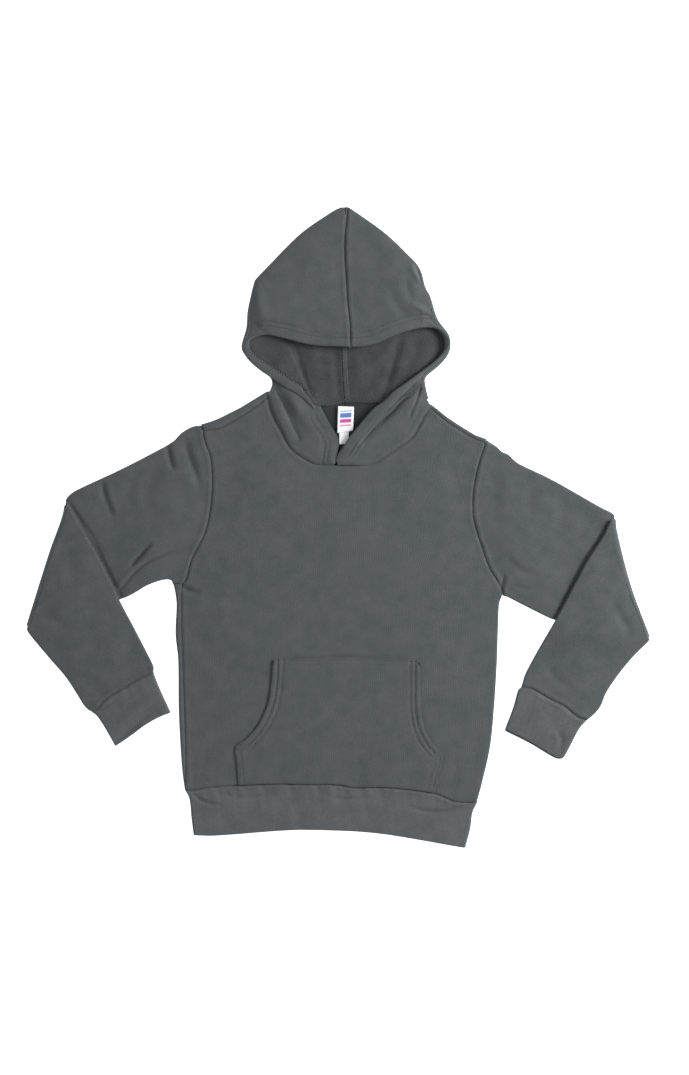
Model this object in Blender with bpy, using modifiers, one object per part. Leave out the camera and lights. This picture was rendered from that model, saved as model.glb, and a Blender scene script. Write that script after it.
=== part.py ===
"""Toddler hoodie in brushed fleece, laid flat with both sleeves folded at the elbow.

World frame: the garment lies on z = 0 and faces up. +Y runs from the hem to the hood, +X is the
wearer's left, and the origin is below the middle of the garment. Tables and helpers work in
millimetres, and one function turns them into metres. Every piece is an open sheet, the middle of
its cloth, that Solidify gives its wall.
"""

import math

import bmesh
import bpy
from mathutils import Vector

# ---------------------------------------------------------------- driving sizes, in millimetres
MM = 0.001
FLEECE = 2.0          # wall of the brushed fleece
RIB = 2.4             # wall of the doubled rib in the cuffs and the hem band
LABEL_WALL = 1.0
SEAM = 0.3            # gap between two pieces at a seam
ROLL = 1.3            # radius of the middle of the cloth where a panel folds over flat
FLOOR_Z = FLEECE / 2  # middle of the cloth that lies on the surface
TOP_Z = FLOOR_Z + 2 * ROLL
RIB_FLOOR_Z = RIB / 2
RIB_TOP_Z = RIB_FLOOR_Z + RIB + SEAM
PUFF = 2.0            # how far the chest stands proud of its edges
SLEEVE_PUFF = 2.2
POCKET_WALL = 1.6
TUCK = 4.0            # how far the front wraps under the wearer's left side
INSET = FLEECE / 2 + ROLL   # from a folded edge to the line that the cloth turns about
SHOULDER_SLANT = 1.12       # the same, measured along Y on the sloping shoulders
SIDE_STEPS, ARMHOLE_STEPS, SHOULDER_STEPS = 8, 8, 3   # rows and columns along the body's seams
WRAP_STEPS, OVER_STEPS = 5, 5
NECK_START, NECK_END = 0.22, 0.81                     # shares across at the neck corners
WRAP_START, WRAP_END = 0.97, 0.03
SHOULDER_ROW = 0.955
TURN_STEPS = 4        # the first steps of a wrapped edge make its turn, and the last goes on to the seam
NOTCH = 8.0           # the wrapped edges stop this far below the armpits
HEM_CLEAR = 2 * SEAM
CORNER_CLEAR = 3 * SEAM       # seams keep more room where three pieces meet
ARMPIT_EASE = 2.0     # extra room in the layers at each armpit
WELD = 0.02           # points nearer than this are one
CHEST_FLATNESS = 4    # a higher power keeps the chest level nearer to its edges
POCKET_COLUMNS, POCKET_ROWS = 9, 8
HEM_COLUMNS, CUFF_COLUMNS, BAND_ROWS = 12, 5, 3
CUFF_LENGTH, FOREARM_LENGTH = 50.0, 190.0             # along the cloth, to scale a gap to a share
ARM_ROWS, ELBOW_ROWS, HOOD_COLUMNS = 7, 5, 7
FOREARM_ROWS = (0.0, 0.06, 0.16, 0.28, 0.4, 0.54, 0.76, 1 - SEAM / FOREARM_LENGTH)
PUFF_REACH = 0.6      # share of the upper arm that stands proud

# Sides of the body below the armpits: height, edge and seam on the wearer's right, left edge.
#        y      right edge  right seam  left edge
SIDES = [
    (-275.0, -153.8, -150.2, 136.6),
    (-257.0, -155.0, -151.2, 143.2),
    (-219.0, -157.0, -152.8, 151.8),
    (-177.0, -159.6, -154.6, 156.0),
    (-135.0, -160.4, -156.0, 158.6),
    (-100.0, -161.8, -157.0, 159.8),
    (-50.0, -162.2, -157.4, 161.6),
]
# Armhole seams, from the armpit to the shoulder tip.
ARMHOLE_RIGHT = [(-154.4, -56.0), (-150.4, -46.1), (-146.4, -31.1), (-134.9, -8.1), (-128.4, 15.9),
                 (-126.0, 42.9), (-128.0, 71.4), (-131.4, 79.9), (-134.7, 90.9), (-134.9, 97.0)]
ARMHOLE_LEFT = [(164.2, -66.1), (159.6, -55.1), (150.6, -40.1), (144.1, -22.1), (137.6, -2.1),
                (134.1, 15.9), (135.2, 40.9), (141.6, 69.9), (145.6, 81.4), (146.0, 85.4)]
# Shoulders: place across, folded edge of the back panel, seam that lies on top.
#                  x      edge y  seam y
SHOULDER_RIGHT = [(-134.9, 104.0, 97.0), (-119.4, 109.4, 99.4), (-97.4, 120.4, 111.4),
                  (-82.4, 129.6, 121.4), (-75.4, 133.6, 127.4)]
SHOULDER_LEFT = [(96.6, 120.6, 116.0), (108.6, 110.6, 105.4), (122.6, 101.4, 96.4),
                 (136.6, 93.6, 88.6), (146.0, 90.0, 85.4)]
# Neck seams: at the front it dips from shoulder to shoulder, at the back it is nearly straight.
NECK_FRONT = [(-71.2, 130.3), (-66.8, 114.9), (-57.4, 95.9), (-47.9, 78.9), (-34.4, 68.9), (-23.4, 63.3),
              (-4.4, 62.7), (11.6, 62.7), (30.6, 63.3), (39.6, 66.9), (54.6, 76.9), (72.6, 89.9),
              (81.6, 103.9), (85.6, 111.9), (92.0, 119.2)]
NECK_MIDDLE = 6       # the neck point where the wearer's right half of the hood ends
NECK_BACK = [(-73.4, 128.4), (-44.4, 122.9), (-13.4, 121.7), (7.8, 125.3), (36.6, 125.1), (64.6, 124.0),
             (94.6, 118.0)]
# Hem band: its seam and its lower edge, and its two folded ends from seam to edge.
HEM_SEAM = [(-153.6, -261.0), (-143.4, -261.2), (-131.4, -259.8), (-99.4, -257.1), (-57.4, -255.6),
            (-0.4, -256.6), (45.6, -259.4), (95.6, -266.0), (139.0, -273.6)]
HEM_EDGE = [(-144.7, -307.1), (-123.4, -307.5), (-45.4, -301.9), (-2.4, -302.4), (23.6, -303.7),
            (52.6, -307.0), (126.8, -319.8)]
HEM_END_RIGHT = [(-153.6, -261.0), (-149.0, -270.1), (-146.8, -290.0), (-144.7, -307.1)]
HEM_END_LEFT = [(139.0, -273.6), (134.2, -284.0), (131.9, -300.1), (126.8, -319.8)]
# Kangaroo pocket: half of each side, from the hem seam up past the curved opening to the top edge.
POCKET_RIGHT = [(-99.8, -254.6), (-102.0, -218.6), (-91.8, -211.0), (-81.4, -198.1), (-72.4, -179.1),
                (-67.4, -158.1), (-64.8, -131.1)]
POCKET_LEFT = [(95.6, -262.6), (103.6, -228.1), (92.6, -213.1), (85.2, -198.1), (82.1, -181.1),
               (81.6, -158.1), (81.6, -132.1)]
POCKET_SEAM = [POCKET_RIGHT[0], (-57.4, -252.9), (-0.4, -253.9), (45.6, -256.4), POCKET_LEFT[0]]
POCKET_TOP = [POCKET_RIGHT[-1], (3.6, -130.3), POCKET_LEFT[-1]]
POCKET_LEVEL = 0.25   # share of the front panel's height where the pocket lies
# Sleeves, each in its folded state. Edge A starts at the shoulder tip, edge B at the armpit. The
# elbow is the folded outer edge, and the forearm lies over the upper arm from there to the cuff.
SLEEVE_RIGHT = {
    "armhole": ARMHOLE_RIGHT,
    "armpit": (-164.0, -55.2),
    "tip": (-137.6, 102.3),
    "arm_a": [(-157.0, 95.3), (-165.4, 86.5), (-221.4, 56.8), (-261.4, 38.1)],
    "arm_b": [(-178.4, -50.6), (-194.4, -55.9), (-218.9, -71.1), (-268.0, -88.0)],
    "elbow": [(-273.0, 24.0), (-288.8, -24.1), (-312.0, -98.1)],
    "fore_a": [(-263.0, 1.0), (-244.4, -20.1), (-233.4, -43.1), (-218.9, -71.1), (-189.3, -128.1)],
    "fore_b": [(-309.0, -105.1), (-290.0, -129.0), (-271.4, -151.6)],
    "cuff_a": (-184.6, -144.1),
    "cuff_b": (-248.4, -182.7),
    "cuff_dip": (-222.0, -167.0),
    "mouth_a": (-167.7, -184.1),
    "mouth_b": (-225.3, -217.1),
}
SLEEVE_LEFT = {
    "armhole": ARMHOLE_LEFT,
    "armpit": (165.6, -68.6),
    "tip": (151.6, 87.0),
    "arm_a": [(165.6, 75.7), (179.6, 66.0), (212.6, 49.0), (263.6, 20.0)],
    "arm_b": [(170.6, -69.9), (197.6, -83.5), (216.5, -92.1), (265.0, -103.0)],
    "elbow": [(277.1, 9.9), (287.0, -40.1), (311.5, -109.1)],
    "fore_a": [(265.6, -6.1), (249.1, -31.6), (235.6, -56.6), (216.5, -92.1), (187.4, -144.1)],
    "fore_b": [(302.0, -122.0), (285.0, -144.0), (273.1, -158.1)],
    "cuff_a": (180.8, -159.4),
    "cuff_b": (246.0, -191.6),
    "cuff_dip": (216.6, -174.1),
    "mouth_a": (165.6, -202.1),
    "mouth_b": (223.6, -231.0),
}
ELBOW_AXIS_Z = 4.95   # height of the line that the sleeve folds round at the elbow
DROP_FROM, DROP_RUN = 2.0, 34.0   # past the upper arm, where the forearm comes down to the surface
# Hood halves, a row for each line across the cloth from its outer edge to the hem of the hood.
# The outer edge is the fold from the top down to the neck corner and then the neck seam; "back" is
# where the same row meets the back seam or the back of the neck; roll is the fold's radius. A whole
# number stands for a point of NECK_FRONT in the first column and of NECK_BACK in the third.
#     outer edge        hem of the hood    back              roll  hem z
HOOD_RIGHT = [
    ((8.6, 319.9), (11.6, 180.9), (8.6, 319.9), 1.4, 13.0),
    ((-14.4, 310.7), (-5.4, 180.9), (8.6, 306.0), 1.6, 13.0),
    ((-35.5, 295.9), (-20.4, 182.2), (7.6, 283.0), 2.0, 12.8),
    ((-60.4, 272.9), (-35.4, 184.9), (7.1, 258.0), 2.4, 12.4),
    ((-83.1, 247.9), (-49.4, 188.9), (5.6, 230.0), 2.6, 12.0),
    ((-90.0, 219.9), (-64.4, 191.5), (4.6, 203.0), 2.8, 11.5),
    ((-93.9, 195.9), (-79.4, 191.9), (3.6, 180.0), 3.0, 10.0),
    ((-96.6, 181.9), (-88.4, 186.9), (4.6, 166.0), 3.0, 9.0),
    ((-89.4, 167.2), (-84.4, 175.4), (5.1, 153.0), 3.0, 9.0),
    ((-81.4, 159.7), (-74.4, 167.4), (6.1, 140.0), 3.0, 9.5),
    ((-70.4, 151.4), (-61.4, 156.9), (7.6, 125.6), 3.0, 9.8),
    ((-66.4, 143.9), (-50.4, 149.4), 2, 2.8, 9.8),
    ((-68.6, 136.4), (-40.4, 141.9), 1, 2.0, 9.6),
    (0, (-31.4, 131.9), None, 0.0, 9.4),
    (1, (-22.4, 122.9), None, 0.0, 9.0),
    (2, (-12.4, 110.9), None, 0.0, 8.4),
    (3, (-5.4, 97.9), None, 0.0, 7.6),
    (4, (-0.4, 87.9), None, 0.0, 6.6),
    (5, (2.6, 76.9), None, 0.0, 5.2),
    (6, (6.6, 69.0), None, 0.0, 4.0),
]
HOOD_LEFT = [
    ((9.8, 319.9), (12.2, 180.9), (9.8, 319.9), 1.4, 13.0),
    ((27.6, 308.4), (26.6, 181.1), (9.3, 306.0), 1.6, 13.0),
    ((44.6, 296.3), (39.6, 184.6), (8.1, 283.0), 2.0, 12.8),
    ((63.6, 278.9), (52.6, 190.9), (7.5, 258.0), 2.4, 12.4),
    ((81.6, 258.9), (67.6, 195.9), (6.0, 230.0), 2.6, 12.0),
    ((89.1, 235.9), (81.6, 198.6), (5.0, 203.0), 2.8, 11.5),
    ((99.1, 208.9), (94.6, 198.9), (4.0, 180.0), 3.0, 10.5),
    ((110.4, 193.4), (104.6, 192.9), (5.0, 166.0), 3.0, 10.0),
    ((111.3, 176.9), (106.6, 182.9), (5.5, 153.0), 3.0, 9.8),
    ((100.6, 161.9), (95.6, 166.4), (6.5, 140.0), 3.0, 9.8),
    ((88.6, 151.4), (86.1, 159.4), (8.0, 125.5), 3.0, 10.0),
    ((86.1, 142.9), (76.6, 151.9), 4, 2.8, 10.2),
    ((88.1, 132.9), (67.1, 144.9), 5, 2.0, 10.4),
    (14, (55.6, 136.4), None, 0.0, 10.6),
    (13, (48.6, 130.0), None, 0.0, 10.4),
    (12, (40.6, 123.4), None, 0.0, 10.2),
    (11, (30.6, 114.4), None, 0.0, 9.8),
    (10, (20.6, 102.9), None, 0.0, 9.2),
    (9, (11.6, 90.9), None, 0.0, 8.6),
    (8, (5.6, 81.9), None, 0.0, 8.0),
    (7, (-0.4, 73.4), None, 0.0, 7.2),
    ((-1.0, 63.4), (-3.2, 66.9), None, 0.0, 6.4),
]
NECK_LIFT = 2.4       # the wearer's left collar laps over the right one by this much at the neck
LAP_FROM, LAP_TO = 14.0, 34.0
CROWN_PUFF = 3.0
CROWN_ROWS = 7
INNER_FOLD = 2.6      # height of the fold inside the hood, beside the wearer's right cheek
FOLD_STEP, FOLD_END = (0.45, 0.55), (0.75, 1.0)       # its shares across, from the back seam outwards
FOLD_FIRST, FOLD_LAST = (4.0, 7.0), (10.0, 12.0)      # and the rows over which it starts and ends
# Neck label and the small tab below it, as rectangles: left, right, lower and upper edge.
LABEL_BOX = (-0.4, 15.2, 96.6, 120.6)
TAB_BOX = (0.8, 10.4, 83.6, 102.0)

# Colours are linear values of the cloth's dyes; no piece is metal.
SLATE = (0.095, 0.105, 0.112, 1.0)
SLATE_RIB = (0.108, 0.120, 0.128, 1.0)
WHITE = (0.85, 0.86, 0.88, 1.0)
NAPPED, RIBBED, SATIN = 0.95, 0.9, 0.6                # roughness


# ---------------------------------------------------------------- curves and patches
class Route:
    """A smooth curve through plan points, read by its share of length from 0 to 1."""

    def __init__(self, points):
        self.points = [Vector(point) for point in points]
        steps = [(b - a).length for a, b in zip(self.points, self.points[1:])]
        total = sum(steps)
        self.stops = [sum(steps[:i]) / total for i in range(len(self.points))]

    def slope(self, i):
        """Direction of the curve at its point i, per unit of share."""
        low, high = max(i - 1, 0), min(i + 1, len(self.points) - 1)
        return (self.points[high] - self.points[low]) / (self.stops[high] - self.stops[low])

    def at(self, share):
        """Point at a share of the length."""
        share = min(max(share, 0.0), 1.0)
        i = max(k for k in range(len(self.points) - 1) if self.stops[k] <= share + 1e-9)
        span = self.stops[i + 1] - self.stops[i]
        t = (share - self.stops[i]) / span
        a, b = self.points[i], self.points[i + 1]
        da, db = self.slope(i) * span, self.slope(i + 1) * span
        return (a * (2 * t**3 - 3 * t**2 + 1) + da * (t**3 - 2 * t**2 + t)
                + b * (3 * t**2 - 2 * t**3) + db * (t**3 - t**2))


def patch(low, high, start, end):
    """Plan of a four-sided panel: low and high run along u, start and end along v."""
    corners = (low(0.0), low(1.0), high(0.0), high(1.0))

    def plan(u, v):
        ruled = low(u) * (1 - v) + high(u) * v + start(v) * (1 - u) + end(v) * u
        flat_low, flat_high = corners[0].lerp(corners[1], u), corners[2].lerp(corners[3], u)
        return ruled - flat_low.lerp(flat_high, v)

    return plan


def ease(value, low, high):
    """Smooth step from 0 at low to 1 at high."""
    t = min(max((value - low) / (high - low), 0.0), 1.0)
    return t * t * (3 - 2 * t)


def lookup(table, key, column):
    """Value of one column of a table at a key in its first column, in straight steps."""
    rows = sorted(table)
    if key <= rows[0][0]:
        return rows[0][column]
    for low, high in zip(rows, rows[1:]):
        if key <= high[0]:
            t = (key - low[0]) / (high[0] - low[0])
            return low[column] * (1 - t) + high[column] * t
    return rows[-1][column]


def bowed(table, key):
    """Second column of a table at a key in its first column, on a smooth line through its rows."""
    i = max(k for k in range(len(table) - 1) if k == 0 or table[k][0] <= key)
    (x0, y0), (x1, y1) = table[i][:2], table[i + 1][:2]
    before, after = table[max(i - 1, 0)], table[min(i + 2, len(table) - 1)]
    slope_0 = (y1 - before[1]) / (x1 - before[0]) * (x1 - x0)
    slope_1 = (after[1] - y0) / (after[0] - x0) * (x1 - x0)
    t = min(max((key - x0) / (x1 - x0), 0.0), 1.0)
    return (y0 * (2 * t**3 - 3 * t**2 + 1) + slope_0 * (t**3 - 2 * t**2 + t)
            + y1 * (3 * t**2 - 2 * t**3) + slope_1 * (t**3 - t**2))


def fold_over(distance, radius):
    """Offset past the fold's axis and turn in height, for cloth laid a distance past that axis."""
    if distance <= 0:
        return distance, 0.0
    if distance < math.pi * radius:
        angle = distance / radius
        return radius * math.sin(angle), radius * (1 - math.cos(angle))
    return math.pi * radius - distance, 2 * radius


def turned(step, beyond):
    """Distance past a fold's axis at one step of a wrapped edge, which ends a way beyond the turn."""
    return math.pi * ROLL * min(step, TURN_STEPS) / TURN_STEPS + beyond * (step > TURN_STEPS)


# ---------------------------------------------------------------- meshes
def sheet(columns, rows, place, missing=()):
    """Open sheet of columns by rows points, made from a grid whose points a function places.

    Cells that are missing, named by their column and row, are left out.
    """
    mesh = bmesh.new()
    made = bmesh.ops.create_grid(mesh, x_segments=columns - 1, y_segments=rows - 1, size=1.0)
    spots = {}
    for vertex in made["verts"]:
        column = round((vertex.co.x + 1) / 2 * (columns - 1))
        row = round((vertex.co.y + 1) / 2 * (rows - 1))
        spots[vertex] = column, row
        vertex.co = Vector(place(column, row)) * MM
    cells = {face: tuple(min(spots[v][k] for v in face.verts) for k in (0, 1)) for face in mesh.faces}
    gone = [face for face, cell in cells.items() if cell in missing]
    bmesh.ops.delete(mesh, geom=gone, context="FACES")
    return mesh


def joined(first, second):
    """One mesh of two sheets."""
    spare = bpy.data.meshes.new("spare")
    second.to_mesh(spare)
    first.from_mesh(spare)
    second.free()
    bpy.data.meshes.remove(spare)
    return first


def garment_piece(name, mesh, wall, colour, roughness, collection):
    """Weld a sheet, give it its wall and its material, and put it in the collection."""
    bmesh.ops.remove_doubles(mesh, verts=mesh.verts, dist=WELD * MM)
    bmesh.ops.recalc_face_normals(mesh, faces=mesh.faces)
    data = bpy.data.meshes.new(name)
    mesh.to_mesh(data)
    mesh.free()
    data.shade_smooth()
    piece = bpy.data.objects.new(name, data)
    collection.objects.link(piece)
    solid = piece.modifiers.new("wall", "SOLIDIFY")
    solid.thickness = wall * MM
    solid.offset = 0.0
    material = bpy.data.materials.new(name)
    material.use_nodes = True
    shader = material.node_tree.nodes["Principled BSDF"]
    shader.inputs["Base Color"].default_value = colour
    shader.inputs["Roughness"].default_value = roughness
    shader.inputs["Metallic"].default_value = 0.0
    data.materials.append(material)
    return piece


def spread(low, high, steps):
    """Even shares from low to high, both included."""
    return [low + (high - low) * k / steps for k in range(steps + 1)]


# ---------------------------------------------------------------- body
def chest_height(u, v):
    """Height of the middle of the front panel, proud in its middle and down at its edges."""
    return TOP_Z + PUFF * (1 - (2 * u - 1) ** CHEST_FLATNESS) * (1 - (2 * v - 1) ** CHEST_FLATNESS)


def side_heights(corner_x, armpit):
    """Heights of a panel's rows between its corner at the hem and one armpit."""
    low, high = bowed(HEM_SEAM, corner_x) + HEM_CLEAR, armpit[1] - NOTCH
    return spread(low, high, SIDE_STEPS - 1)


def armhole_points(table):
    """Evenly spaced points of one armhole seam, shared by the body panels and the sleeve."""
    route = Route(table)
    return [route.at(k / ARMHOLE_STEPS) for k in range(ARMHOLE_STEPS + 1)]


def shoulder_points(table, height):
    """Points of a shoulder from end to end, their height given by a function of the place across."""
    ends = table[0][0], table[-1][0]
    places = [ends[0] + (ends[1] - ends[0]) * k / SHOULDER_STEPS for k in range(SHOULDER_STEPS + 1)]
    return [Vector((x, height(table, x))) for x in places]


def sampled(shares, points):
    """A boundary that is known only at the shares where the panel has its columns or rows."""
    known = {round(share, 6): point for share, point in zip(shares, points)}
    return lambda share: known[round(share, 6)]


def hem_seam(u):
    """Point of the hem band's seam at a share across."""
    x = HEM_SEAM[0][0] + (HEM_SEAM[-1][0] - HEM_SEAM[0][0]) * u
    return Vector((x, bowed(HEM_SEAM, x)))


def hem_between(first, last):
    """Lower edge of a body panel between its two corners."""

    def line(u):
        x = first.x + (last.x - first.x) * u
        y = bowed(HEM_SEAM, x) + HEM_CLEAR
        wrapped = ease(u, WRAP_START, 1.0)
        return Vector((x, y * (1 - wrapped) + last.y * wrapped))

    return line


def seam_below(table, x):
    """Height of the front panel's edge at a shoulder seam."""
    return lookup(table, x, 2) - CORNER_CLEAR - SEAM


def front_plan():
    """Columns, rows and plan of the front panel, before its one wrapped side is turned under."""
    columns = spread(0.0, NECK_START, SHOULDER_STEPS)
    columns += spread(NECK_START, NECK_END, len(NECK_FRONT) - 1)[1:]
    columns += spread(NECK_END, WRAP_START, SHOULDER_STEPS - 1)[1:]
    columns += spread(WRAP_START, 1.0, WRAP_STEPS)[1:]
    rows = spread(0.0, 1.0, SIDE_STEPS + ARMHOLE_STEPS)
    wrap = math.pi * ROLL + TUCK
    right_heights = side_heights(HEM_SEAM[0][0], ARMHOLE_RIGHT[0])
    left_heights = side_heights(HEM_SEAM[-1][0] - TUCK - INSET, ARMHOLE_LEFT[0])
    right = [Vector((lookup(SIDES, y, 2) + 2 * SEAM, y)) for y in right_heights]
    left = [Vector((lookup(SIDES, y, 3) - INSET + wrap, y)) for y in left_heights]
    right += armhole_points(ARMHOLE_RIGHT)
    left += armhole_points(ARMHOLE_LEFT)
    right[SIDE_STEPS].x += ARMPIT_EASE
    left[SIDE_STEPS].x -= ARMPIT_EASE / 2
    right[-1].y -= CORNER_CLEAR
    left[-1].y -= CORNER_CLEAR
    top = shoulder_points(SHOULDER_RIGHT, seam_below)[:-1] + [Vector(point) for point in NECK_FRONT]
    first, last = SHOULDER_LEFT[0][0], SHOULDER_LEFT[-1][0]
    for u in columns[len(top):]:
        x = first + (last - first) * (u - NECK_END) / (1 - NECK_END)
        top.append(Vector((x, seam_below(SHOULDER_LEFT, x))))
    top[0], top[-1] = right[-1], left[-1]
    low, high = hem_between(right[0], left[0]), sampled(columns, top)
    return columns, rows, patch(low, high, sampled(rows, right), sampled(rows, left))


def make_front(collection):
    """Front panel, from the hem seam to the shoulders and the neck."""
    columns, rows, plan = front_plan()
    wrap_from = len(columns) - 1 - WRAP_STEPS

    def place(i, j):
        spot = plan(columns[i], rows[j])
        height = chest_height(columns[i], rows[j])
        if j < SIDE_STEPS and i >= wrap_from:
            axis = lookup(SIDES, spot.y, 3) - INSET
            past, turn = fold_over(turned(i - wrap_from, TUCK), ROLL)
            return axis + past, spot.y, height - turn
        return spot.x, spot.y, height

    missing = [(i, SIDE_STEPS - 1) for i in range(wrap_from, wrap_from + WRAP_STEPS)]
    mesh = sheet(len(columns), len(rows), place, missing)
    return garment_piece("front_body", mesh, FLEECE, SLATE, NAPPED, collection)


def make_back(collection):
    """Back panel, which comes round the wearer's right side and over both shoulders."""
    turn = math.pi * ROLL
    right, left = [], []
    for y in side_heights(HEM_SEAM[0][0], ARMHOLE_RIGHT[0]):
        axis = lookup(SIDES, y, 1) + INSET
        right.append(Vector((axis - turn - (lookup(SIDES, y, 2) - axis), y)))
    for y in side_heights(HEM_SEAM[-1][0] - TUCK - INSET, ARMHOLE_LEFT[0]):
        left.append(Vector((lookup(SIDES, y, 3) - INSET - TUCK - SEAM, y)))
    left[-1].x -= 2 * ARMPIT_EASE
    right += armhole_points(ARMHOLE_RIGHT)
    left += armhole_points(ARMHOLE_LEFT)

    def laid_out(table, x):
        axis = lookup(table, x, 1) - INSET * SHOULDER_SLANT
        return axis + turn + axis - lookup(table, x, 2)

    shoulder_right = shoulder_points(SHOULDER_RIGHT, laid_out)
    shoulder_left = shoulder_points(SHOULDER_LEFT, laid_out)
    for side, end in ((right, shoulder_right[0]), (left, shoulder_left[-1])):
        corner = side[-1]
        side += [corner + (end - corner) * k / OVER_STEPS for k in range(1, OVER_STEPS + 1)]
    top = shoulder_right + [Vector(point) for point in NECK_BACK] + shoulder_left
    columns = spread(0.0, WRAP_END, WRAP_STEPS) + spread(WRAP_END, NECK_START, SHOULDER_STEPS)[1:]
    columns += spread(NECK_START, NECK_END, len(NECK_BACK) + 1)[1:-1]
    columns += spread(NECK_END, 1.0, SHOULDER_STEPS)
    rows = spread(0.0, SHOULDER_ROW, SIDE_STEPS + ARMHOLE_STEPS)
    rows += spread(SHOULDER_ROW, 1.0, OVER_STEPS)[1:]
    over_from = SIDE_STEPS + ARMHOLE_STEPS
    neck_first = WRAP_STEPS + SHOULDER_STEPS + 1
    neck_last = neck_first + len(NECK_BACK) - 1
    slope = (SHOULDER_RIGHT[-1][0] - SHOULDER_RIGHT[0][0]) / NECK_START
    places = [SHOULDER_RIGHT[0][0] + slope * u for u in columns if u < NECK_START - WELD * MM]
    top = [Vector((x, laid_out(SHOULDER_RIGHT, x))) for x in places] + top[SHOULDER_STEPS:]
    low, high = hem_between(right[0], left[0]), sampled(columns, top)
    plan = patch(low, high, sampled(rows, right), sampled(rows, left))

    def place(i, j):
        spot = plan(columns[i], rows[j])
        x, y = spot.x, spot.y
        if j < SIDE_STEPS and i <= WRAP_STEPS:
            axis = lookup(SIDES, y, 1) + INSET
            past, rise = fold_over(turned(WRAP_STEPS - i, lookup(SIDES, y, 2) - axis), ROLL)
            return axis - past, y, FLOOR_Z + rise
        if j >= over_from and not neck_first <= i <= neck_last:
            table = SHOULDER_RIGHT if i < neck_first else SHOULDER_LEFT
            axis = lookup(table, x, 1) - INSET * SHOULDER_SLANT
            past, rise = fold_over(turned(j - over_from, axis - lookup(table, x, 2)), ROLL)
            return x, axis + past, FLOOR_Z + rise
        return x, y, FLOOR_Z

    missing = [(i, SIDE_STEPS - 1) for i in range(WRAP_STEPS)]
    missing += [(i, j) for i in (neck_first - 1, neck_last) for j in range(over_from, len(rows) - 1)]
    mesh = sheet(len(columns), len(rows), place, missing)
    return garment_piece("back_body", mesh, FLEECE, SLATE, NAPPED, collection)


def make_pocket(collection):
    """Kangaroo pocket, laid on the front panel's own surface."""
    plan = patch(Route(POCKET_SEAM).at, Route(POCKET_TOP).at, Route(POCKET_RIGHT).at, Route(POCKET_LEFT).at)
    _, _, front = front_plan()
    side_right, side_left = front(0.0, POCKET_LEVEL).x, front(1.0, POCKET_LEVEL).x
    hem_y, neck_y = bowed(HEM_SEAM, 0.0), NECK_FRONT[NECK_MIDDLE][1]
    lift = FLEECE / 2 + SEAM + POCKET_WALL / 2

    def place(i, j):
        spot = plan(i / POCKET_COLUMNS, j / POCKET_ROWS)
        u = (spot.x - side_right) / (side_left - side_right)
        v = max((spot.y - hem_y) / (neck_y - hem_y), 0.0)
        return spot.x, spot.y, chest_height(u, v) + lift

    mesh = sheet(POCKET_COLUMNS + 1, POCKET_ROWS + 1, place)
    return garment_piece("pocket", mesh, POCKET_WALL, SLATE, NAPPED, collection)


# ---------------------------------------------------------------- flattened tubes
def ring_shares(across):
    """Columns of a flattened tube: share across, and which side, top 1, bottom 0 or fold 0.5."""
    out = [(i / across, 1.0) for i in range(across + 1)]
    out.append((1.0, 0.5))
    out += [(1 - i / across, 0.0) for i in range(across + 1)]
    out.append((0.0, 0.5))
    return out + [out[0]]


def ring_point(plan, v, share, level, inset, half_wall):
    """Plan point of one column of a flattened tube, its sides inset from the tube's edges."""
    width = (plan(1.0, v) - plan(0.0, v)).length
    edge = (half_wall if level == 0.5 else inset) / width
    return plan(edge + (1 - 2 * edge) * share, v)


def make_hem(collection):
    """Doubled rib band round the hem."""
    plan = patch(hem_seam, Route(HEM_EDGE).at, Route(HEM_END_RIGHT).at, Route(HEM_END_LEFT).at)
    inset = RIB / 2 + (RIB_TOP_Z - RIB_FLOOR_Z) / 2
    ring = ring_shares(HEM_COLUMNS)

    def place(i, j):
        share, level = ring[i]
        spot = ring_point(plan, j / BAND_ROWS, share, level, inset, RIB / 2)
        return spot.x, spot.y, RIB_FLOOR_Z + (RIB_TOP_Z - RIB_FLOOR_Z) * level

    mesh = sheet(len(ring), BAND_ROWS + 1, place)
    return garment_piece("hem_band", mesh, RIB, SLATE_RIB, RIBBED, collection)


def cuff_plan(cut):
    """Plan of a cuff, from its seam to its mouth."""
    seam = Route([cut["cuff_a"], cut["cuff_dip"], cut["cuff_b"]])
    mouth = Route([cut["mouth_a"], cut["mouth_b"]])
    side_a, side_b = Route([cut["cuff_a"], cut["mouth_a"]]), Route([cut["cuff_b"], cut["mouth_b"]])
    return patch(seam.at, mouth.at, side_a.at, side_b.at)


def make_cuff(name, cut, collection):
    """Doubled rib cuff at the end of one sleeve."""
    plan = cuff_plan(cut)
    inset = RIB / 2 + (RIB_TOP_Z - RIB_FLOOR_Z) / 2
    ring = ring_shares(CUFF_COLUMNS)
    start = SEAM / CUFF_LENGTH

    def place(i, j):
        share, level = ring[i]
        spot = ring_point(plan, start + (1 - start) * j / BAND_ROWS, share, level, inset, RIB / 2)
        return spot.x, spot.y, RIB_FLOOR_Z + (RIB_TOP_Z - RIB_FLOOR_Z) * level

    mesh = sheet(len(ring), BAND_ROWS + 1, place)
    return garment_piece(name, mesh, RIB, SLATE_RIB, RIBBED, collection)


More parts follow.
